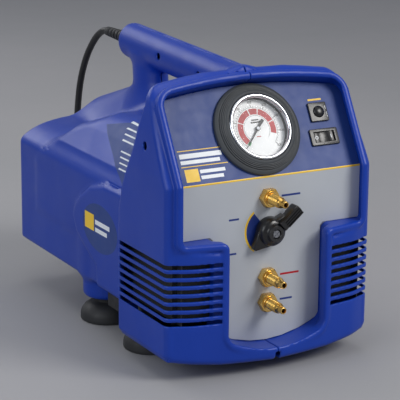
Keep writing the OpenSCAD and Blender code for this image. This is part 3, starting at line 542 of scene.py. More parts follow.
def make_relief():
    """Tapered ribbed sleeve where the cord leaves the end of the handle."""
    low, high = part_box("strain_relief")
    length = (high.y - low.y) / MM
    along = basis((0, low.y, BAR_Z), (1, 0, 0), (0, 0, -1), (0, 1, 0))
    root = 6.0
    profile = [(4.0, 0.02), (8.15, 0.02), (8.15, root), (7.2, root + 0.3)]
    ribs, start = 6, root + 3.4
    pitch = (length - start - 6) / ribs
    taper = lambda h: 7.2 - 2.25 * (h - root) / (length - root)
    for i in range(ribs):
        h = start + i * pitch
        profile += [(taper(h), h), (taper(h) - 0.25, h + 0.4), (4.6, h + 0.7), (4.6, h + 3.0),
                    (taper(h) - 0.35, h + 3.3), (taper(h) - 0.1, h + 3.7)]
    profile += [(taper(length - 1), length - 1), (4.6, length - 0.05), (3.7, length - 0.05)]
    relief = lathe("cord_relief", profile, along, *GUM, steps=64, sharp=40)
    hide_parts("strain_relief")
    return relief


def make_tie():
    """Hook-and-loop band round one side of the coil's bundle."""
    r_mid = COIL_INNER + COIL_PITCH * COIL_TURNS_IN / 2
    half_r = COIL_PITCH * COIL_TURNS_IN / 2 + CORD_D / 2 + 0.0004
    place = basis((COIL_CENTRE[0], COIL_CENTRE[1] + r_mid, 0.00785), (0, 1, 0), (0, 0, 1), (1, 0, 0))
    outer = rounded_rect(half_r * 2 / MM + 2.2, 15.6, 4.5, 8)
    inner = rounded_rect(half_r * 2 / MM + 0.6, 14.0, 3.8, 8)
    count = len(outer)
    verts = [place @ Vector((u * MM, v * MM, n * MM)) for n in (-6, 6) for ring in (outer, inner)
             for u, v in ring]
    faces = []
    for i in range(count):
        j = (i + 1) % count
        faces += [(i, j, 2 * count + j, 2 * count + i), (count + j, count + i, 3 * count + i, 3 * count + j),
                  (j, i, count + i, count + j), (2 * count + i, 2 * count + j, 3 * count + j, 3 * count + i)]
    tie = tidy(piece("coil_tie", verts, faces, *GUM))
    return tie


make_camera()
lead, lead_length = make_cord()
plug, contacts = make_plug()
make_relief()
tie = make_tie()
make_studio()
dress_cad_nodes()


# ---------- housing, as a solid distance field turned into a mesh ----------
# The field works in millimetres with Y measured from the lower panel, on one half.

WALL = 3.0
HALF = HALF_W / MM
REAR = (REAR_Y - PANEL_Y) / MM
BEND = BEND_Z / MM
SIN_L, COS_L = math.sin(LEAN), math.cos(LEAN)
LIP_HALF, LIP_NARROW, UNDERCUT = 98.0, 53.5, 7.0
FLANGE_DEPTH, BEAD_DEPTH, BLOCK_DEPTH = 8.5, 15.5, 24.5
SLOT_COUNT, SLOT_PITCH, SLOT_H, SLOT_BASE = 8, 8.0, 4.5, 57.2
BAR_FRONT_Y, BAR_REAR_Y = 48.0, (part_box("strain_relief")[0].y - PANEL_Y) / MM + 5.9
POST_Y = 245.0
FOOT_X, FOOT_REAR_Y = middle("foot_rear_right").x / MM, (middle("foot_rear_right").y - PANEL_Y) / MM
SEAM = 0.22
LIP_AHEAD = 13.5                       # how far ahead of the panel the lip starts
PANEL_T = 1.7                          # the sheet and its play
BOX_HALF, BOX_FLOOR = 103.3, 49.0      # half width and underside of the rear box
RIDGE_HALF, RIDGE_REAR, RIDGE_RISE, RIDGE_TOP = 46.0, 16.0, 0.34, 44.0
BULGE_HALF = 108.5                     # half width over the bulges


def hypot(a, b):
    return np.sqrt(a * a + b * b)


def both(a, b, r):
    """Intersection with its outer edge rounded by r."""
    return np.minimum(np.maximum(a, b), -r) + hypot(np.maximum(a + r, 0), np.maximum(b + r, 0))


def either(a, b, r):
    """Union with its inner edge filled by r."""
    return np.maximum(np.minimum(a, b), r) - hypot(np.maximum(r - a, 0), np.maximum(r - b, 0))


def outline_field(u, v, points):
    """Signed distance to a closed outline."""
    best = np.full(np.broadcast(u, v).shape, 1e9)
    sign = np.ones_like(best)
    for (au, av), (bu, bv) in zip(points, points[1:] + points[:1]):
        eu, ev = bu - au, bv - av
        du, dv = u - au, v - av
        t = np.clip((du * eu + dv * ev) / (eu * eu + ev * ev), 0, 1)
        best = np.minimum(best, (du - eu * t) ** 2 + (dv - ev * t) ** 2)
        over, under, left = v >= av, v < bv, eu * dv > ev * du
        flip = (over & under & left) | (~over & ~under & ~left)
        sign = np.where(flip, -sign, sign)
    return sign * np.sqrt(best)


def arc(cu, cv, r, a0, a1, n=8):
    return [(cu + r * math.cos(math.radians(a0 + (a1 - a0) * i / n)),
             cv + r * math.sin(math.radians(a0 + (a1 - a0) * i / n))) for i in range(n + 1)]


def mirrored(points):
    return points + [(-u, v) for u, v in reversed(points) if u > 0.01]


def ease(t):
    t = np.clip(t, 0, 1)
    return t * t * (3 - 2 * t)


def recess_field(x, w, extra):
    """T-shaped opening: wide above the louvre blocks and narrow between them."""
    wide = both(both(x - LIP_HALF - extra, w - (BEND + 94.5) + 8.8 * (x / LIP_HALF) ** 2, 11.0),
                136.5 - w, 4.0)
    narrow = both(both(x - LIP_NARROW - extra, 25 + 0.0045 * x * x - w, 7.0), w - 150, 1.0)
    return either(wide, narrow, 7.0)


def recess_cut(x, w, ahead):
    """The recess in front of the panel, undercut behind its lip."""
    extra = UNDERCUT * np.clip((LIP_AHEAD - ahead) / 5.0, 0, 1)
    return np.maximum(recess_field(x, w, extra), -ahead - PANEL_T)


def housing_field(x, y, z):
    """Signed distance to the whole moulded body before it is hollowed and cut."""
    leaning = -y * COS_L + (z - BEND) * SIN_L
    ahead = np.maximum(-y, leaning)          # distance in front of the panel's plane
    up_panel = y * SIN_L + (z - BEND) * COS_L
    w = np.where(leaning > -y, BEND + up_panel, z)

    # front shell with its rounded flange
    shape = outline_field(x, z, mirrored([(0, 12), (60, 14.5), (HALF - 4, 20.5), (HALF, 27), (HALF, 198),
                                          (HALF - 2.5, 237), (HALF - 5, 256)]
                                         + arc(HALF - 26.5, 259.5, 20.5, 5, 75)
                                         + [(70, 282.4), (45, 285.2), (0, 286)]))
    back = outline_field(y, z, [(-40, 0), (-40, 320), (66, 320), (50, 262), (67, 214), (88, 174), (95, 150),
                                (95, 0)])
    shell = both(both(shape, ahead - FLANGE_DEPTH, 7.0), back, 3.5)

    # lower louvre blocks, bowed in plan
    bow = BLOCK_DEPTH + 1.5 - 0.0011 * x * x - 8.0 * ease((x - 85) / 40)
    block = both(both(shape, (-y - bow) * 0.97, 6.0), y - 95, 3.5)
    block = both(block, (z - 126 - 0.75 * np.clip(y + 22, 0, 14)) * 0.8, 3.0)
    shell = either(shell, block, 1.2)

    # raised bead round the panel's recess
    lip = recess_field(x, w, 0.0)
    crest = np.where(z > 150, BEAD_DEPTH, BEAD_DEPTH + 9.0 * np.clip((97 - x) / 42, 0, 1))
    bead = both(np.abs(lip - 3.9) - 3.9, ahead - crest, 3.4)
    bead = np.maximum(bead, -ahead + 1.0)
    shell = either(shell, np.maximum(bead, shape), 1.6)

    # rear box with a lid that rises to the spine
    lid = 184 - 9 * (x / 103) ** 2 - 12 * (x / 103) ** 6
    crest = either(RIDGE_REAR + RIDGE_RISE * (REAR - y), RIDGE_TOP, 12.0)
    phase = np.pi * np.clip(x / RIDGE_HALF, 0, 1)
    ridge = (0.5 + 0.5 * np.cos(phase)) * crest
    sides = both(x - BOX_HALF, BOX_FLOOR - z, 4.5)
    steep = crest * np.pi / (2 * RIDGE_HALF) * np.sin(phase)
    crease = both(sides, (z - lid - ridge) / np.sqrt(1.12 + steep ** 2), 4.5)
    rear = both(both(crease, y - REAR, 4.5), 60 - y, 3.0)

    # shoulders under the handle's front, sloping back to the lid
    slope = outline_field(y, z, [(30, 90), (30, 264), (72, 260), (92, 224), (150, 218.5), (215, 215),
                                 (262, 196), (318, 150), (318, 90)])
    across = outline_field(x, z, mirrored([(0, 90), (98, 90), (98, 160), (95, 178), (78, 200), (56, 219),
                                           (46, 232), (42, 266), (0, 266)]))
    shoulder = both(slope, across, 9.0)
    rear = either(rear, shoulder, 10.0)
    body = either(shell, rear, 5.0)

    # bulges over the rear feet, and the bosses under them
    bulge = outline_field(y, z, [(85, 163), (138, 162), (172, 153), (196, 138), (209, 127), (215, 113),
                                 (206, 96),
                                 (190, 87), (178, 80), (160, 71), (158, 50), (85, 50)])
    column = both(x - BULGE_HALF, bulge, 6.0)
    boss = both(hypot(x - FOOT_X, y - FOOT_REAR_Y) - 26, np.abs(z - 60) - 34, 5.0)
    body = either(body, column, 4.0)
    body = either(body, boss, 8.0)

    # handle: an oval bar on a post that flares into the spine
    rise = 269 + (BAR_Z / MM - 269) * (y - BAR_FRONT_Y) / (BAR_REAR_Y - BAR_FRONT_Y)
    bar = both((hypot(x / 17.6, (z - rise) / 19.0) - 1) * 17.6, y - BAR_REAR_Y, 9.0)
    bar = both(bar, BAR_FRONT_Y - y, 1.0)
    post = (hypot(x / 16.5, (y - POST_Y - 0.12 * (z - 235)) / 26) - 1) * 16.5
    post = both(post, np.abs(z - 236) - 32, 1.0)
    body = either(body, post, 13.0)
    return either(body, bar, 6.0), ahead, w


def cuts_field(x, y, z, ahead, w, outer):
    """Everything that is cut out of the hollow body."""
    # recess, undercut behind its lip, and the opening behind the panel
    recess = recess_cut(x, w, ahead)
    behind = np.maximum(recess_field(x, w, -0.5) + 3.0, -ahead - 12)

    # louvre slots through the front and round the corner
    step = np.mod(z - SLOT_BASE, SLOT_PITCH)
    level = np.abs(step - SLOT_H / 2) - SLOT_H / 2
    level = np.maximum(level, np.maximum(SLOT_BASE - 1 - z, z - SLOT_BASE - SLOT_COUNT * SLOT_PITCH))
    front = np.maximum(60.5 - x, y + 5)
    bars = [np.abs(y - at) - 1.5 for at in (3.5, 26, 48, 70)]
    side = np.maximum(y - 92, 104 - x)
    open_part = np.minimum(front, side)
    for bar in bars:
        open_part = np.maximum(open_part, np.where((x > 100) & (outer < -1.6), -bar, -9))
    slots = both(level, open_part, 0.6)
    slots = np.maximum(slots, -outer - 9)

    # screw recesses, the cord's mouth, the air outlet, and the room for tray and feet
    holes = []
    for at_y, at_z in ((110, 270), (196, 274)):
        holes.append(np.maximum(hypot(y - at_y, z - at_z) - 3.7, 9 - x))
    holes.append(np.maximum(hypot(y - 40, z - 223) - 4.0, 103.6 - x))
    holes.append(np.maximum(hypot(x, z - BAR_Z / MM) - 8.3, BAR_REAR_Y - 6 - y))
    holes.append(np.maximum(np.maximum(x - 2.6, z - 20.5), y + 12))
    holes.append(np.maximum(np.maximum(x - 80, np.abs(z - 104) - 42), REAR - 6 - y))
    holes.append(np.maximum(np.maximum(x - 91.2, 62.8 - y), np.maximum(y - 167.2, z - 54)))
    holes.append(np.maximum(np.maximum(x - 45.2, 62.8 - y), np.maximum(y - 237.2, z - 54)))
    holes.append(np.maximum(hypot(x - FOOT_X, y - 96) - 31, z - 28))
    cut = np.minimum(recess, slots)
    for hole in holes:
        cut = np.minimum(cut, hole)
    return cut, behind


def surface_net(values, axes):
    """Points and four-sided faces of the zero level of a field on a rectilinear grid."""
    shape = np.array(values.shape) - 1
    total = int(shape.prod())
    sums, counts, quads = np.zeros((3, total)), np.zeros(total), []
    for axis in range(3):
        u, v = (axis + 1) % 3, (axis + 2) % 3
        lower = [slice(None)] * 3
        upper = [slice(None)] * 3
        lower[axis], upper[axis] = slice(None, -1), slice(1, None)
        a, b = values[tuple(lower)], values[tuple(upper)]
        at = np.array(np.nonzero((a < 0) != (b < 0)))
        inner = (at[u] > 0) & (at[v] > 0) & (at[u] < shape[u]) & (at[v] < shape[v])
        at = at[:, inner]
        va, vb = a[tuple(at)], b[tuple(at)]
        position = np.stack([axes[i][at[i]] for i in range(3)])
        position[axis] += va / (va - vb) * (axes[axis][at[axis] + 1] - axes[axis][at[axis]])
        corners = []
        for du, dv in ((0, 0), (-1, 0), (-1, -1), (0, -1)):
            cell = at.copy()
            cell[u] += du
            cell[v] += dv
            flat = (cell[0] * shape[1] + cell[1]) * shape[2] + cell[2]
            corners.append(flat)
            counts += np.bincount(flat, minlength=total)
            for i in range(3):
                sums[i] += np.bincount(flat, weights=position[i], minlength=total)
        quad = np.stack(corners, axis=1)
        quad[va > 0] = quad[va > 0][:, ::-1]
        quads.append(quad)
    used = np.nonzero(counts)[0]
    place = np.full(total, -1)
    place[used] = np.arange(len(used))
    return (sums[:, used] / counts[used]).T, place[np.concatenate(quads)]


def spans(*stretches):
    """Grid positions whose spacing changes from one stretch to the next."""
    coarser = 1.0
    return np.concatenate([np.arange(a, b, step * coarser) for a, b, step in stretches])


def housing_mesh():
    axes = (spans((-0.6, 2.4, 0.6), (2.4, 117, 1.3)), spans((-31, 44, 1.2), (44, 100, 1.9), (100, 366, 2.4)),
            spans((8, 54, 1.6), (54, 124, 1.0), (124, 300, 1.5)))
    z = axes[2][None, :]
    parts = []
    for x_value in axes[0]:
        x = np.full((1, 1), abs(x_value))
        y = axes[1][:, None]
        outer, ahead, w = housing_field(x, y, z)
        cut, behind = cuts_field(x, y, z, ahead, w, outer)
        solid = np.maximum(outer, -cut)
        recess_only = np.maximum(outer, -recess_cut(x, w, ahead))
        shell = np.maximum(solid, -(recess_only + WALL))
        shell = np.maximum(shell, -np.maximum(behind, outer + WALL))
        parts.append(both(shell, SEAM - x_value, 0.7))
    return surface_net(np.stack(parts), axes)


def make_housings():
    points, quads = housing_mesh()
    points = points * MM + np.array([0, PANEL_Y, 0])
    points[:, 2] = np.minimum(points[:, 2], CAD_BOX[1][2])
    points[:, 0] = np.minimum(points[:, 0], CAD_BOX[1][0] - 0.0001)
    right = piece("housing_right", points.tolist(), quads.tolist(), BLUE, "blue_housing")
    target = 185_000
    triangles = 2 * len(quads)
    if triangles > target:
        thin = right.modifiers.new("thin", "DECIMATE")
        thin.ratio = target / triangles
        applied(right)
    for face in right.data.polygons:
        face.use_smooth = True
    right.data.set_sharp_from_angle(angle=math.radians(50))
    mesh = right.data.copy()
    mesh.transform(Matrix.Scale(-1, 4, (1, 0, 0)))
    mesh.flip_normals()
    left = bpy.data.objects.new("housing_left", mesh)
    bpy.context.scene.collection.objects.link(left)
    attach(left, "machine")
    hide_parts("right_housing")
    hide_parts("left_housing")
    return left, right


make_housings()


# ---------- control panel graphics ----------

FILM_BACK, FILM_FRONT, PRINT = 0.0, 0.42, 0.47     # heights in front of the panel, in millimetres
PANEL_HALF, PANEL_NARROW = LIP_HALF + UNDERCUT - 0.6, LIP_NARROW + UNDERCUT - 0.6
LINE_W = 1.5


def lower_outline(top):
    arc_bottom = [(u, 25.6 + 0.0045 * u * u) for u in (0, 18, 36, 48, PANEL_NARROW)]
    right = arc_bottom + [(PANEL_NARROW, 134), (PANEL_NARROW + 3, 137), (PANEL_HALF, 137), (PANEL_HALF, top)]
    return right + [(-u, v) for u, v in reversed(right) if u > 0.01]


def upper_outline(base):
    corner = arc(PANEL_HALF - 12, 73.5, 12, 0, 78, 8)
    right = [(PANEL_HALF, base)] + corner + [(60, 90.3), (30, 93), (0, 93.8)]
    return right + [(-u, v) for u, v in reversed(right) if u > 0.01]


def holed(obj, cutters):
    """Cuts the cutters out of a piece and removes them."""
    for cutter in cutters:
        cut = obj.modifiers.new("cut", "BOOLEAN")
        cut.operation = "DIFFERENCE"
        cut.solver = "EXACT"
        cut.object = cutter
    applied(obj)
    for cutter in cutters:
        bpy.data.objects.remove(cutter)
    return obj


def cutter(outline, place):
    return prism("cutter", outline, -3, 3, place, *MOULDED)


def circle(r, n=64):
    return [(r * math.cos(2 * math.pi * i / n), r * math.sin(2 * math.pi * i / n)) for i in range(n)]


def node_frame_up(node):
    """Frame on the leaning panel under a node's middle."""
    at = middle(node)
    s = (at - Vector((0, PANEL_Y, BEND_Z))).dot(UP_V)
    return up_frame(at.x, s)


GAUGE_FRAME = up_frame(GAUGE.x, (GAUGE - Vector((0, PANEL_Y, BEND_Z))).dot(UP_V))
SWITCH_FRAME = node_frame_up("switch_housing")
BREAKER_FRAME = node_frame_up("breaker_housing")
PORT_Z = {name: middle(name).z for name in ("purge_port", "discharge_port", "suction_port")}


def make_panel():
    base = low_frame(0, 0)
    lean = up_frame(0, 0)
    grey = prism("overlay_grey", lower_outline(BEND - 0.6), FILM_BACK, FILM_FRONT, base, PANEL_GREY,
                 "panel_overlay")
    holed(grey, [cutter(circle(6.2), low_frame(0, z)) for z in PORT_Z.values()]
          + [cutter(circle(4.6), low_frame(0, KNOB.z))])
    blue = prism("overlay_blue", upper_outline(0.9), FILM_BACK, FILM_FRONT, lean, PANEL_BLUE,
                 "panel_overlay")
    holed(blue, [cutter(circle(31.8, 96), GAUGE_FRAME), cutter(rounded_rect(27.4, 13.4, 0.6), SWITCH_FRAME),
                 cutter(rounded_rect(17.4, 16.4, 0.6), BREAKER_FRAME)])
    low_line = prism("line_lower", strip(2 * PANEL_HALF, LINE_W / 2, 0, BEND - 0.3), FILM_BACK, PRINT, base,
                     YELLOW, "panel_overlay")
    up_line = prism("line_upper", strip(2 * PANEL_HALF, LINE_W / 2 + 0.2, 0, 0.45), FILM_BACK, PRINT, lean,
                    YELLOW, "panel_overlay")
    line = joined("overlay_line", [low_line, up_line])
    for film in (grey, blue, line):
        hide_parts("panel_overlay")

    def print_on(name, outline, place, look):
        return prism(name, outline, FILM_FRONT, PRINT, place, look, "panel_overlay")

    marks = []
    # sector beside the selector, with a yellow edge
    knob_place = low_frame(0, KNOB.z)
    marks.append(print_on("sector_blue", sector(12, 23.2, 130, 232), knob_place, NAVY))
    marks.append(print_on("sector_yellow", sector(23.2, 25.2, 128, 234), knob_place, YELLOW))
    # plain bars where a maker prints names, two rules and a block
    bars = [(-66, 29.5, 45, 4.6, WHITE), (-67.5, 23.4, 42, 3.6, WHITE), (-65, 34.8, 49, 0.8, YELLOW),
            (-64, 19.0, 50, 0.8, YELLOW), (-79.5, 10.2, 14.5, 12.5, YELLOW), (-57, 13.2, 27, 3.4, WHITE),
            (-58.5, 7.4, 24, 3.4, WHITE)]
    for i, (u, v, w, h, look) in enumerate(bars):
        marks.append(print_on(f"name_bar_{i}", strip(w, h, u, v), lean, look))
    for i, (z, look, w) in enumerate(((PORT_Z["purge_port"] / MM - 0.5, NAVY, 21),
                                      (PORT_Z["discharge_port"] / MM, RED, 21),
                                      (PORT_Z["suction_port"] / MM, NAVY, 14))):
        marks.append(print_on(f"port_bar_{i}", strip(w, 2.0, 15.5 + w / 2, z), low_frame(0, 0), look))
    for i, (u, v, w) in enumerate(((-37, 14.5, 11), (-41, -19.5, 14))):
        marks.append(print_on(f"knob_bar_{i}", strip(w, 1.9, u, v), knob_place, NAVY))
    at = BREAKER_FRAME.copy()
    marks.append(print_on("breaker_bar", strip(15, 1.8, 0, 13.2), at, YELLOW))
    by_look = {}
    for mark in marks:
        by_look.setdefault(mark.data.materials[0].name, []).append(mark)
    for look, group in by_look.items():
        joined("marks_" + look.replace("print_", ""), group)


# ---------- pressure gauge ----------

def make_gauge():
    low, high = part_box("gauge_boot")
    boot_r = (high.x - low.x) / 2 / MM
    bezel_r = (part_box("gauge_bezel")[1].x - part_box("gauge_bezel")[0].x) / 2 / MM
    place = GAUGE_FRAME
    ribs = []
    for i in range(5):
        t = i / 5
        r = boot_r - 3.2 - t * (boot_r - 3.2 - 36.6)
        h = 4.9 + 4.9 * math.sin(math.radians(90 * (t + 0.06)))
        ribs += [(r, h), (r - 0.45, h + 0.05), (r - 0.75, h - 0.25), (r - 1.1, h + 0.12)]
    boot = lathe("gauge_surround", [(32.2, 0.5), (boot_r - 0.6, 0.5), (boot_r, 1.1), (boot_r, 2.9),
                                    (boot_r - 0.5, 3.9), (boot_r - 1.6, 4.5)] + ribs
                 + [(36.0, 10.1), (35.0, 10.4), (bezel_r + 0.45, 10.1), (bezel_r + 0.35, 9.4),
                    (bezel_r + 0.35, 4.5), (32.2, 4.5)], place, CHARCOAL_RUBBER, "black_rubber", steps=160)
    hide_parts("gauge_boot")
    rim = [(30.5, 8.4), (29.5, 8.4), (29.45, 9.2)] + \
          [(31.45 + 1.98 * math.cos(math.radians(180 - 18 * i)), 9.5 + 1.98 * math.sin(math.radians(18 * i)))
           for i in range(11)] + [(bezel_r - 0.1, 8.6), (bezel_r - 0.02, 4.8), (30.5, 4.8)]
    bezel = lathe("gauge_rim", rim, place, CHROME, "chrome", steps=160)
    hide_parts("gauge_bezel")
    lens = lathe("gauge_glass", [(0, 6.9), (30.2, 6.9), (30.35, 7.05), (30.35, 8.1), (30.2, 8.3), (0, 8.55)],
                 place, GLASS, "lens", steps=96, closed=False)
    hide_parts("gauge_lens")
    face = lathe("gauge_face", [(1.7, 1.25), (29.9, 1.25), (30.05, 1.4), (30.05, 1.85), (29.9, 2.0),
                                (1.7, 2.0)], place, DIAL, "dial", steps=96)
    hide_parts("gauge_dial")
    ring = lathe("gauge_step", [(30.15, 1.25), (31.3, 1.25), (31.3, 4.6), (30.15, 4.6)], place,
                 *COATED, steps=96)

    top = 2.0
    start, end = 228.0, -42.0                    # directions of zero and of full scale
    parts = {"red": [], "black": [], "green": []}

    def mark(kind, outline, look):
        parts[kind].append(prism("mark", outline, top, top + 0.06, place, look, "dial"))

    for a0, a1 in ((start - 4, 158), (155, 107), (104, 76), (73, 22), (19, end + 24)):
        mark("red", sector(14.8, 20.8, a1, a0, 20), RED)
    mark("green", sector(15.6, 20.2, start - 3, start + 6, 4), GREEN)
    for i in range(41):
        a = start + (end - start) * i / 40
        long = i % 5 == 0
        mark("black", strip(2.6 if long else 1.4, 0.6 if long else 0.32, 23.6 if long else 23.0, 0, a),
             BLACK_PRINT)
    for r0, r1 in ((21.8, 22.1), (13.6, 13.9)):
        mark("black", sector(r0, r1, end, start, 60), BLACK_PRINT)
    mark("black", strip(10.5, 1.5, 0, 6.8), BLACK_PRINT)
    mark("black", strip(8.0, 1.3, 0, 9.2), BLACK_PRINT)
    mark("red", strip(5.0, 0.8, 0, -7.6), RED)
    for i in range(9):
        a = math.radians(start + (end - start) * i / 8)
        digits = text_mesh(str(i * 100), 3.3)
        spot = place @ Matrix.Translation(((27.0 * math.cos(a)) * MM, (27.0 * math.sin(a)) * MM, top * MM))
        digits.data.transform(spot @ Matrix.Scale(MM, 4))
        parts["black"].append(digits)
    for kind, group in parts.items():
        joined("dial_" + kind, group)

    # pointer with a tail, on its hub
    pose = place @ Matrix.Rotation(math.radians(228), 4, "Z")
    needle = [(-11.2, -1.3), (-10.4, -1.7), (-5, -1.2), (0, -1.0), (18, -0.42), (24.2, -0.1), (24.2, 0.1),
              (18, 0.42), (0, 1.0), (-5, 1.2), (-10.4, 1.7), (-11.2, 1.3)]
    arm = prism("needle", needle, 3.65, 4.2, pose, BLACK_PRINT, "pointer", body="pointer", rounding=0.12)
    spindle = lathe("spindle", [(0, -9), (0.95, -9), (0.95, 3.0), (2.4, 3.0), (2.4, 4.6), (0, 4.6)], place,
                    BLACK_PRINT, "pointer", body="pointer", steps=32, closed=False)
    cap = lathe("cap", [(0, 4.6), (1.7, 4.6), (1.6, 5.1), (0.9, 5.4), (0, 5.45)], place, WHITE, "dial",
                body="pointer", steps=32, closed=False)
    pointer = joined("pointer_needle", [arm, spindle])
    cap.name = "pointer_cap"
    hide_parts("gauge_pointer")
    return ring


def text_mesh(words, size):
    """Number on the dial as a thin solid, centred on its own origin, in millimetres."""
    font = bpy.data.curves.new("digits", "FONT")
    font.body = words
    font.size = size
    font.align_x, font.align_y = "CENTER", "CENTER"
    font.extrude = 0.03
    font.resolution_u = 3
    holder = bpy.data.objects.new("digits", font)
    bpy.context.scene.collection.objects.link(holder)
    bpy.context.view_layer.update()
    mesh = bpy.data.meshes.new_from_object(holder.evaluated_get(bpy.context.evaluated_depsgraph_get()))
    bpy.data.objects.remove(holder)
    mesh.transform(Matrix.Translation((0, 0, 0.03)))
    mesh.materials.clear()
    mesh.materials.append(BLACK_PRINT)
    obj = bpy.data.objects.new("digits", mesh)
    bpy.context.scene.collection.objects.link(obj)
    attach(obj, "machine")
    return obj


# ---------- switch and breaker ----------

def make_switch():
    n_top = 2.45
    outer, inner = rounded_rect(31.6, 17, 1.6), rounded_rect(23.5, 11.3, 0.8)
    bezel = prism("switch_bezel", outer, 0.45, n_top, SWITCH_FRAME, *MOULDED, rounding=0.7)
    holed(bezel, [cutter(inner, SWITCH_FRAME)])
    box = prism("switch_body", rounded_rect(26.6, 12.8, 0.8), -18, 0.45, SWITCH_FRAME, *MOULDED)
    pin_middle = SWITCH_FRAME @ Matrix.Translation((0, 0, -4 * MM))
    holed(box, [prism("cutter", inner, -11, 3, SWITCH_FRAME, *MOULDED),
                lathe("cutter", [(0, -8), (1.6, -8), (1.6, 8), (0, 8)],
                      pin_middle @ Matrix.Rotation(math.pi / 2, 4, "X"),
                      *MOULDED, steps=24, closed=False)])
    housing = joined("switch_frame", [bezel, box])
    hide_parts("switch_housing")

    tilt = pin_middle @ Matrix.Rotation(math.radians(-7), 4, "Y")
    across = tilt @ Matrix.Rotation(math.pi / 2, 4, "X")
    side = [(-11, 5.3), (-10, 5.75), (-7, 5.75)] + \
           [(u, 4.5 + 1.25 * (u / 7) ** 2) for u in (-5, -3, -1, 1, 3, 5)] + \
           [(7, 5.75), (10, 5.75), (11, 5.3), (8, -3.5), (-8, -3.5)]
    rocker = prism("rocker_cap", side, -5.45, 5.45, across, *MOULDED, body="rocker",
                   rounding=0.35)
    pin = lathe("rocker_pin", [(0, -6.4), (1.45, -6.4), (1.45, 6.4), (0, 6.4)], across, *MOULDED,
                body="rocker", steps=24, closed=False)
    rocker = joined("rocker_cap", [rocker, pin])
    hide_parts("switch_rocker")
    off_mark = prism("mark", sector(1.15, 1.75, 0, 359.9, 40), 5.7, 5.82,
                     tilt @ Matrix.Translation((-7.6 * MM, 0, 0)), WHITE, "dial", body="rocker")
    on_mark = prism("mark", strip(0.6, 3.6, 7.8, 0), 5.7, 5.82, tilt, WHITE, "dial", body="rocker")
    joined("rocker_marks", [off_mark, on_mark])


def make_breaker():
    frame_plate = prism("breaker_plate", rounded_rect(20.4, 19.4, 1.2), 0.45, 2.8, BREAKER_FRAME,
                        *MOULDED, rounding=0.6)
    body_block = prism("breaker_body", rounded_rect(16.8, 15.8, 0.8), -26, 0.5, BREAKER_FRAME, *MOULDED)
    for part in (frame_plate, body_block):
        holed(part, [prism("cutter", circle(6.0), -12, 5, BREAKER_FRAME, *MOULDED)])
    housing = joined("breaker_case", [frame_plate, body_block])
    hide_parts("breaker_housing")
    dome = [(0, -11.4), (5.9, -11.4), (5.9, 3.1)]
    for a in (math.radians(15 * i) for i in range(1, 6)):
        dome.append((5.9 * math.cos(a), 3.1 + 2.85 * math.sin(a)))
    dome += [(0, 5.95)]
    button = lathe("reset_cap", dome, BREAKER_FRAME, *MOULDED, body="reset_button",
                   steps=64, closed=False)
    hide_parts("breaker_button")
    marks = [prism("mark", strip(0.5, 3.4, 8.4, 3.6), 2.8, 2.86, BREAKER_FRAME, WHITE, "dial")]
    marks += [prism("mark", strip(0.7, 1.1, 8.6, -1.5 - 1.9 * i), 2.8, 2.86, BREAKER_FRAME, WHITE, "dial")
              for i in range(3)]
    joined("breaker_marks", marks)


# ---------- flare ports ----------

THREAD_PITCH = 1.27      # 7/16-20 thread


def thread(name, r, n0, n1, place, steps=48, per_pitch=8):
    """Solid rod with an outside helical thread between two heights, in millimetres."""
    depth = 0.62
    rows = int((n1 - n0) / THREAD_PITCH * per_pitch)
    verts, faces = [], []
    for i in range(rows + 1):
        h = n0 + (n1 - n0) * i / rows
        fade = min(1.0, (h - n0) / 1.2, (n1 - h) / 0.8)
        for k in range(steps):
            a = 2 * math.pi * k / steps
            turn = (h / THREAD_PITCH + k / steps) % 1.0
            rr = r - depth * fade * (1 - abs(2 * turn - 1)) ** 0.8 - (1 - fade) * 0.25
            verts.append(place @ Vector((rr * math.cos(a) * MM, rr * math.sin(a) * MM, h * MM)))
    for i in range(rows):
        for k in range(steps):
            m = (k + 1) % steps
            faces.append((i * steps + k, i * steps + m, (i + 1) * steps + m, (i + 1) * steps + k))
    faces.append(tuple(range(steps))[::-1])
    faces.append(tuple(rows * steps + k for k in range(steps)))
    return tidy(piece(name, verts, faces, *TURNED), 40)


def hexagon(name, across, n0, n1, place, turn=0.0, body="machine"):
    """Hexagon with its corners turned off at a shallow cone, as real nuts are."""
    outline = [(across / 2 * math.cos(math.radians(60 * i + turn)),
                across / 2 * math.sin(math.radians(60 * i + turn))) for i in range(6)]
    nut = prism(name, outline, n0, n1, place, *TURNED, body=body)
    cone = lathe("cutter", [(0, n0 - 1), (across / 2 + 0.5, n0 - 1), (across / 2 + 0.5, n1 - 1.5),
                            (across / 2 * 0.87, n1 + 0.001), (across / 2 * 0.87, n1 + 1), (0, n1 + 1)],
                 place, *TURNED, steps=72, closed=False)
    chamfer = nut.modifiers.new("turned", "BOOLEAN")
    chamfer.operation = "INTERSECT"
    chamfer.solver = "EXACT"
    chamfer.object = cone
    applied(nut)
    bpy.data.objects.remove(cone)
    return bevel(nut, 0.18 * MM, 2, 25)


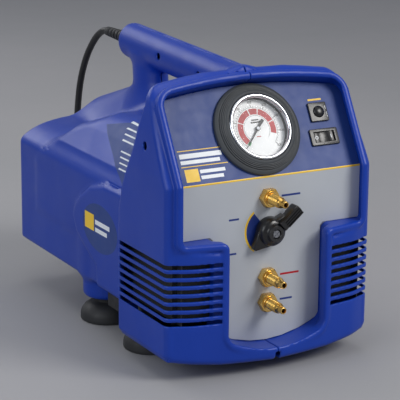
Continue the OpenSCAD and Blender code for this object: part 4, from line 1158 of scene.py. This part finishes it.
def make_port(node):
    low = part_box(node)[0]
    place = low_frame(0, PORT_Z[node])
    tip = (PANEL_Y - low.y) / MM
    r = RECORD["mounts"][0]["dims"]["r_mm"]
    parts = [hexagon("hex", high_across(node), 0.5, 7.4, place, turn=0)]
    parts.append(lathe("collar", [(3, 7.3), (7.2, 7.3), (7.2, 8.4), (6.9, 8.8), (3, 8.8)], place,
                       *TURNED, steps=64))
    parts.append(thread("thread", r, 8.7, 24.6, place))
    nose = [(2.4, 24.4), (r - 0.35, 24.4), (r - 0.35, 25.4), (4.7, 26.5), (3.7, 28.6), (3.55, 29.6),
            (3.6, 32.6), (3.3, tip - 0.35), (2.9, tip), (2.4, tip - 0.05), (2.2, tip - 0.6), (2.2, 26.0)]
    parts.append(lathe("nose", nose, place, *TURNED, steps=64))
    parts.append(lathe("shank", [(2.4, -20), (3.9, -20), (3.9, -14), (5.95, -14), (5.95, 0.55), (2.4, 0.55)],
                       place, *TURNED, steps=48))
    parts.append(lathe("bore", [(0, 25.6), (2.25, 25.6), (2.25, 25.9), (0, 25.9)], place, *TURNED,
                       steps=32, closed=False))
    fitting = joined(node + "_fitting", parts)
    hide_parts(node)
    core = lathe(node + "_core", [(0, 25.95), (2.15, 25.95), (2.15, 26.4), (0.8, 26.6), (0.5, 29.8), (0, 30)],
                 place, *COATED, steps=24, closed=False)
    return core


def high_across(node):
    low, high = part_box(node)
    return (high.x - low.x) / MM


# ---------- selector knob ----------

def make_knob():
    """Round hub with a ribbed lever, a pointer opposite, and a screw in its middle."""
    place = low_frame(0, KNOB.z)
    lever = place @ Matrix.Rotation(math.radians(41), 4, "Z")
    front = (PANEL_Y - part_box("selector_knob")[0].y) / MM
    hub = lathe("hub", [(4.05, 2.0), (13.4, 2.0), (14.2, 2.8), (14.2, 9.0), (13.7, 11.6), (12.6, 13.4),
                        (11.2, 14.5), (9.4, 15.2), (8.6, 16.2), (8.3, 18.2), (7.6, 18.9), (4.9, 18.9),
                        (4.6, 18.4), (4.6, 16.2), (4.05, 16.0)], place, *MOULDED,
                body="knob", steps=96)
    arm_outline = [(9, -5.2), (20, -4.6), (26, -5.6), (32.6, -5.6), (34.0, -4.6), (34.4, 0), (34.0, 4.6),
                   (32.6, 5.6), (26, 5.6), (20, 4.6), (9, 5.2)]
    arm = prism("arm", arm_outline, 8.5, front - 1.4, lever, *MOULDED, body="knob",
                rounding=1.1)
    ribs = []
    for v in (-3.9, -1.3, 1.3, 3.9):
        rib = [(13.5, v - 0.55), (33.2, v - 0.75), (33.9, v), (33.2, v + 0.75), (13.5, v + 0.55)]
        ribs.append(prism("rib", rib, front - 2.0, front - 0.1, lever, *MOULDED,
                          body="knob", rounding=0.4))
    nose = [(2, 12.6), (-8, 11.6), (-14.5, 7.6), (-24.2, 1.5), (-24.9, 0), (-24.2, -1.5), (-14.5, -7.6),
            (-8, -11.6), (2, -12.6)]
    pointer = prism("nose", nose, 2.2, 9.8, lever, *MOULDED, body="knob", rounding=1.2)
    skirt = prism("web", [(4, -10), (14, -6.5), (20, -4.8), (20, 4.8), (14, 6.5), (4, 10)], 4, 14.5, lever,
                  *MOULDED, body="knob", rounding=1.2)
    for part in (pointer, skirt, arm):
        holed(part, [prism("cutter", circle(4.6, 48), 0, 30, place, *MOULDED)])
    knob = joined("selector_lever", [hub, arm, pointer, skirt] + ribs)
    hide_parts("selector_knob")
    head = lathe("head", [(0, 12), (2.0, 12), (2.0, 16.05), (4.1, 16.05), (4.1, 17.4), (3.5, 18.2),
                          (2.2, 18.35), (0, 18.35)], place, ZINC, "zinc_steel", body="knob", steps=48,
                 closed=False)
    holed(head, [prism("cutter", strip(9, 1.1), 17.5, 20, lever, ZINC, "zinc_steel"),
                 prism("cutter", strip(9, 1.1, 0, 0, 90), 17.5, 20, lever, ZINC, "zinc_steel")])
    head.name = "knob_fastener"
    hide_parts("knob_screw")


# ---------- feet, outlet grille, louvre shade sheets and badges ---

def make_foot(node):
    """Rubber dome with rings round its shoulder and a well for its screw."""
    at = middle(node)
    r = (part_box(node)[1].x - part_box(node)[0].x) / 2 / MM
    place = floor_frame(at.x, at.y)
    top = FOOT_H / MM
    profile = [(6.6, 0.6), (r - 5, 0.6), (r - 4.4, 0.0), (r - 1.6, 0.0), (r - 0.3, 0.9), (r, 2.4),
               (r - 0.2, 4.6)]
    for i in range(9):
        a = math.radians(8 + 9.2 * i)
        groove = 0.35 if i in (3, 5) else 0.0
        profile.append((12.5 + (r - 12.7) * math.cos(a) ** 0.9 - groove, 5 + 14.2 * math.sin(a) - groove))
    profile += [(13.2, 20.0), (13.2, top - 0.6), (12.7, top - 0.05), (2.8, top - 0.05), (2.8, 10), (6.6, 10)]
    foot = lathe("dome_" + node, profile, place, *GUM, steps=96, sharp=40)
    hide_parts(node)


def make_grille():
    """Rear outlet grille with rounded slats in a flanged frame."""
    low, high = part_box("rear_grille")
    w, h = (high.x - low.x) / MM, (high.z - low.z) / MM
    depth = (high.y - low.y) / MM
    place = basis((0, low.y, (low.z + high.z) / 2), (-1, 0, 0), (0, 0, 1), (0, 1, 0))
    flange = prism("flange", rounded_rect(w, h, 6), depth - 0.95, depth, place, *COATED,
                   rounding=0.4)
    window = rounded_rect(156, 80, 3)
    holed(flange, [prism("cutter", window, 0, depth + 3, place, *COATED)])
    plug_ring = prism("ring", rounded_rect(159, 83, 3), 0, depth - 0.9, place, *COATED)
    holed(plug_ring, [prism("cutter", rounded_rect(153, 77, 2), -3, depth + 3, place, *COATED)])
    slats = []
    for i in range(9):
        v = -38.4 + 9.6 * i
        slats.append(prism("slat", [(-78, v - 2.2), (78, v - 2.2), (78, v + 2.2), (-78, v + 2.2)], 0.6,
                           depth - 0.3, place, *COATED, rounding=0.9))
    slats.append(prism("slat", [(-2, -40), (2, -40), (2, 40), (-2, 40)], 0.4, depth - 0.5, place,
                       *COATED, rounding=0.5))
    grille = joined("outlet_grille", [flange, plug_ring] + slats)
    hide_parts("rear_grille")


def make_louvre_shade_sheets():
    """Dark rubber sheets behind the louvres, inside each housing half, that paint the shade inside the slots."""
    for name, side in (("left", -1), ("right", 1)):
        # painted shade: dark sheets set behind the louvre slots in place of the shade inside them
        front = prism("front", strip(42, 66, side * 83, 90), 1.0, 1.8, low_frame(0, 0), *GUM)
        wall = basis((side * 0.0985, PANEL_Y, 0), (0, 1, 0), (0, 0, 1), (1, 0, 0))
        flank = prism("flank", strip(102, 66, 40, 90), -0.4, 0.4, wall, *GUM)
        joined("louvre_shade_sheet_" + name, [front, flank])


def skin_x(y, z):
    """Half-widths of the moulded body at points of its side view, in millimetres."""
    x = np.arange(118.0, 20.0, -0.25)[None, :]
    field = housing_field(x, y[:, None], z[:, None])[0]
    first = np.argmax(field < 0, axis=1)
    return x[0, first] + 0.1


def decal(name, outline, look, side, lift):
    """Thin film that follows the body's side, drawn in the side view as (y, z) points."""
    outline = np.array(outline)
    n, rings = len(outline), 9
    centre = outline.mean(axis=0)
    points = [centre] + [centre + (q - centre) * (r + 1) / rings for r in range(rings) for q in outline]
    y, z = np.array(points).T
    verts = np.stack([side * (skin_x(y, z) + lift) * MM, PANEL_Y + y * MM, z * MM], axis=1).tolist()
    faces = [(0, 1 + k, 1 + (k + 1) % n) for k in range(n)]
    for r in range(rings - 1):
        a, b = 1 + r * n, 1 + (r + 1) * n
        faces += [(a + k, b + k, b + (k + 1) % n, a + (k + 1) % n) for k in range(n)]
    film = piece(name, verts, faces, look, "panel_overlay", smooth=True)
    thick = film.modifiers.new("thick", "SOLIDIFY")
    thick.thickness, thick.offset = 0.15 * MM, 0.0
    return tidy(applied(film), 60)


def split_line(a, b, parts):
    """Evenly spaced points from one corner to the next."""
    return [(a[0] + (b[0] - a[0]) * i / parts, a[1] + (b[1] - a[1]) * i / parts) for i in range(parts)]


def drawn_shape(corners, parts=8):
    points = []
    for a, b in zip(corners, corners[1:] + corners[:1]):
        points += split_line(a, b, parts)
    return points


def make_badges():
    """Blank oval badge on each bulge and a plain ruled label on each shoulder."""
    for name, side in (("left", -1), ("right", 1)):
        oval = [(146 + 40 * math.cos(a), 114 + 25 * math.sin(a))
                for a in np.linspace(0, 2 * math.pi, 72, endpoint=False)]
        lead = 1 if side < 0 else -1          # blocks read from left to right on both sides
        marks = [decal("plate", oval, PANEL_BLUE, side, 0.1)]
        blocks = (20, 4, 21, 17, YELLOW), (-10, 6, 33, 4.8, WHITE), (-7, -2, 27, 4.4, WHITE)
        for at, up, w, h, look in blocks:
            y, z = 150 + lead * at, 113 + up
            marks.append(decal("mark", drawn_shape([(y - w / 2, z - h / 2), (y + w / 2, z - h / 2),
                                                    (y + w / 2, z + h / 2), (y - w / 2, z + h / 2)], 3),
                               look, side, 0.25))
        joined("badge_" + name, marks)
        label = [(88, 224), (97, 178), (104, 164), (150, 184), (206, 206), (170, 214), (120, 221)]
        films = [decal("label", drawn_shape(label), PANEL_BLUE, side, 0.1)]
        for i in range(9):
            z = 214 - 4.4 * i
            y0 = 96 + 1.4 * i
            y1 = 172 - 5.2 * i if i != 4 else 116
            films.append(decal("rule", drawn_shape([(y0, z - 0.6), (y1, z - 0.6), (y1, z + 0.6),
                                                    (y0, z + 0.6)], 6), WHITE, side, 0.25))
        joined("shoulder_label_" + name, films)


make_panel()
make_gauge()
make_switch()
make_breaker()
for port in PORT_Z:
    make_port(port)
make_knob()
for foot in ("foot_front_left", "foot_front_right", "foot_rear_left", "foot_rear_right"):
    make_foot(foot)
make_grille()
make_louvre_shade_sheets()
make_badges()
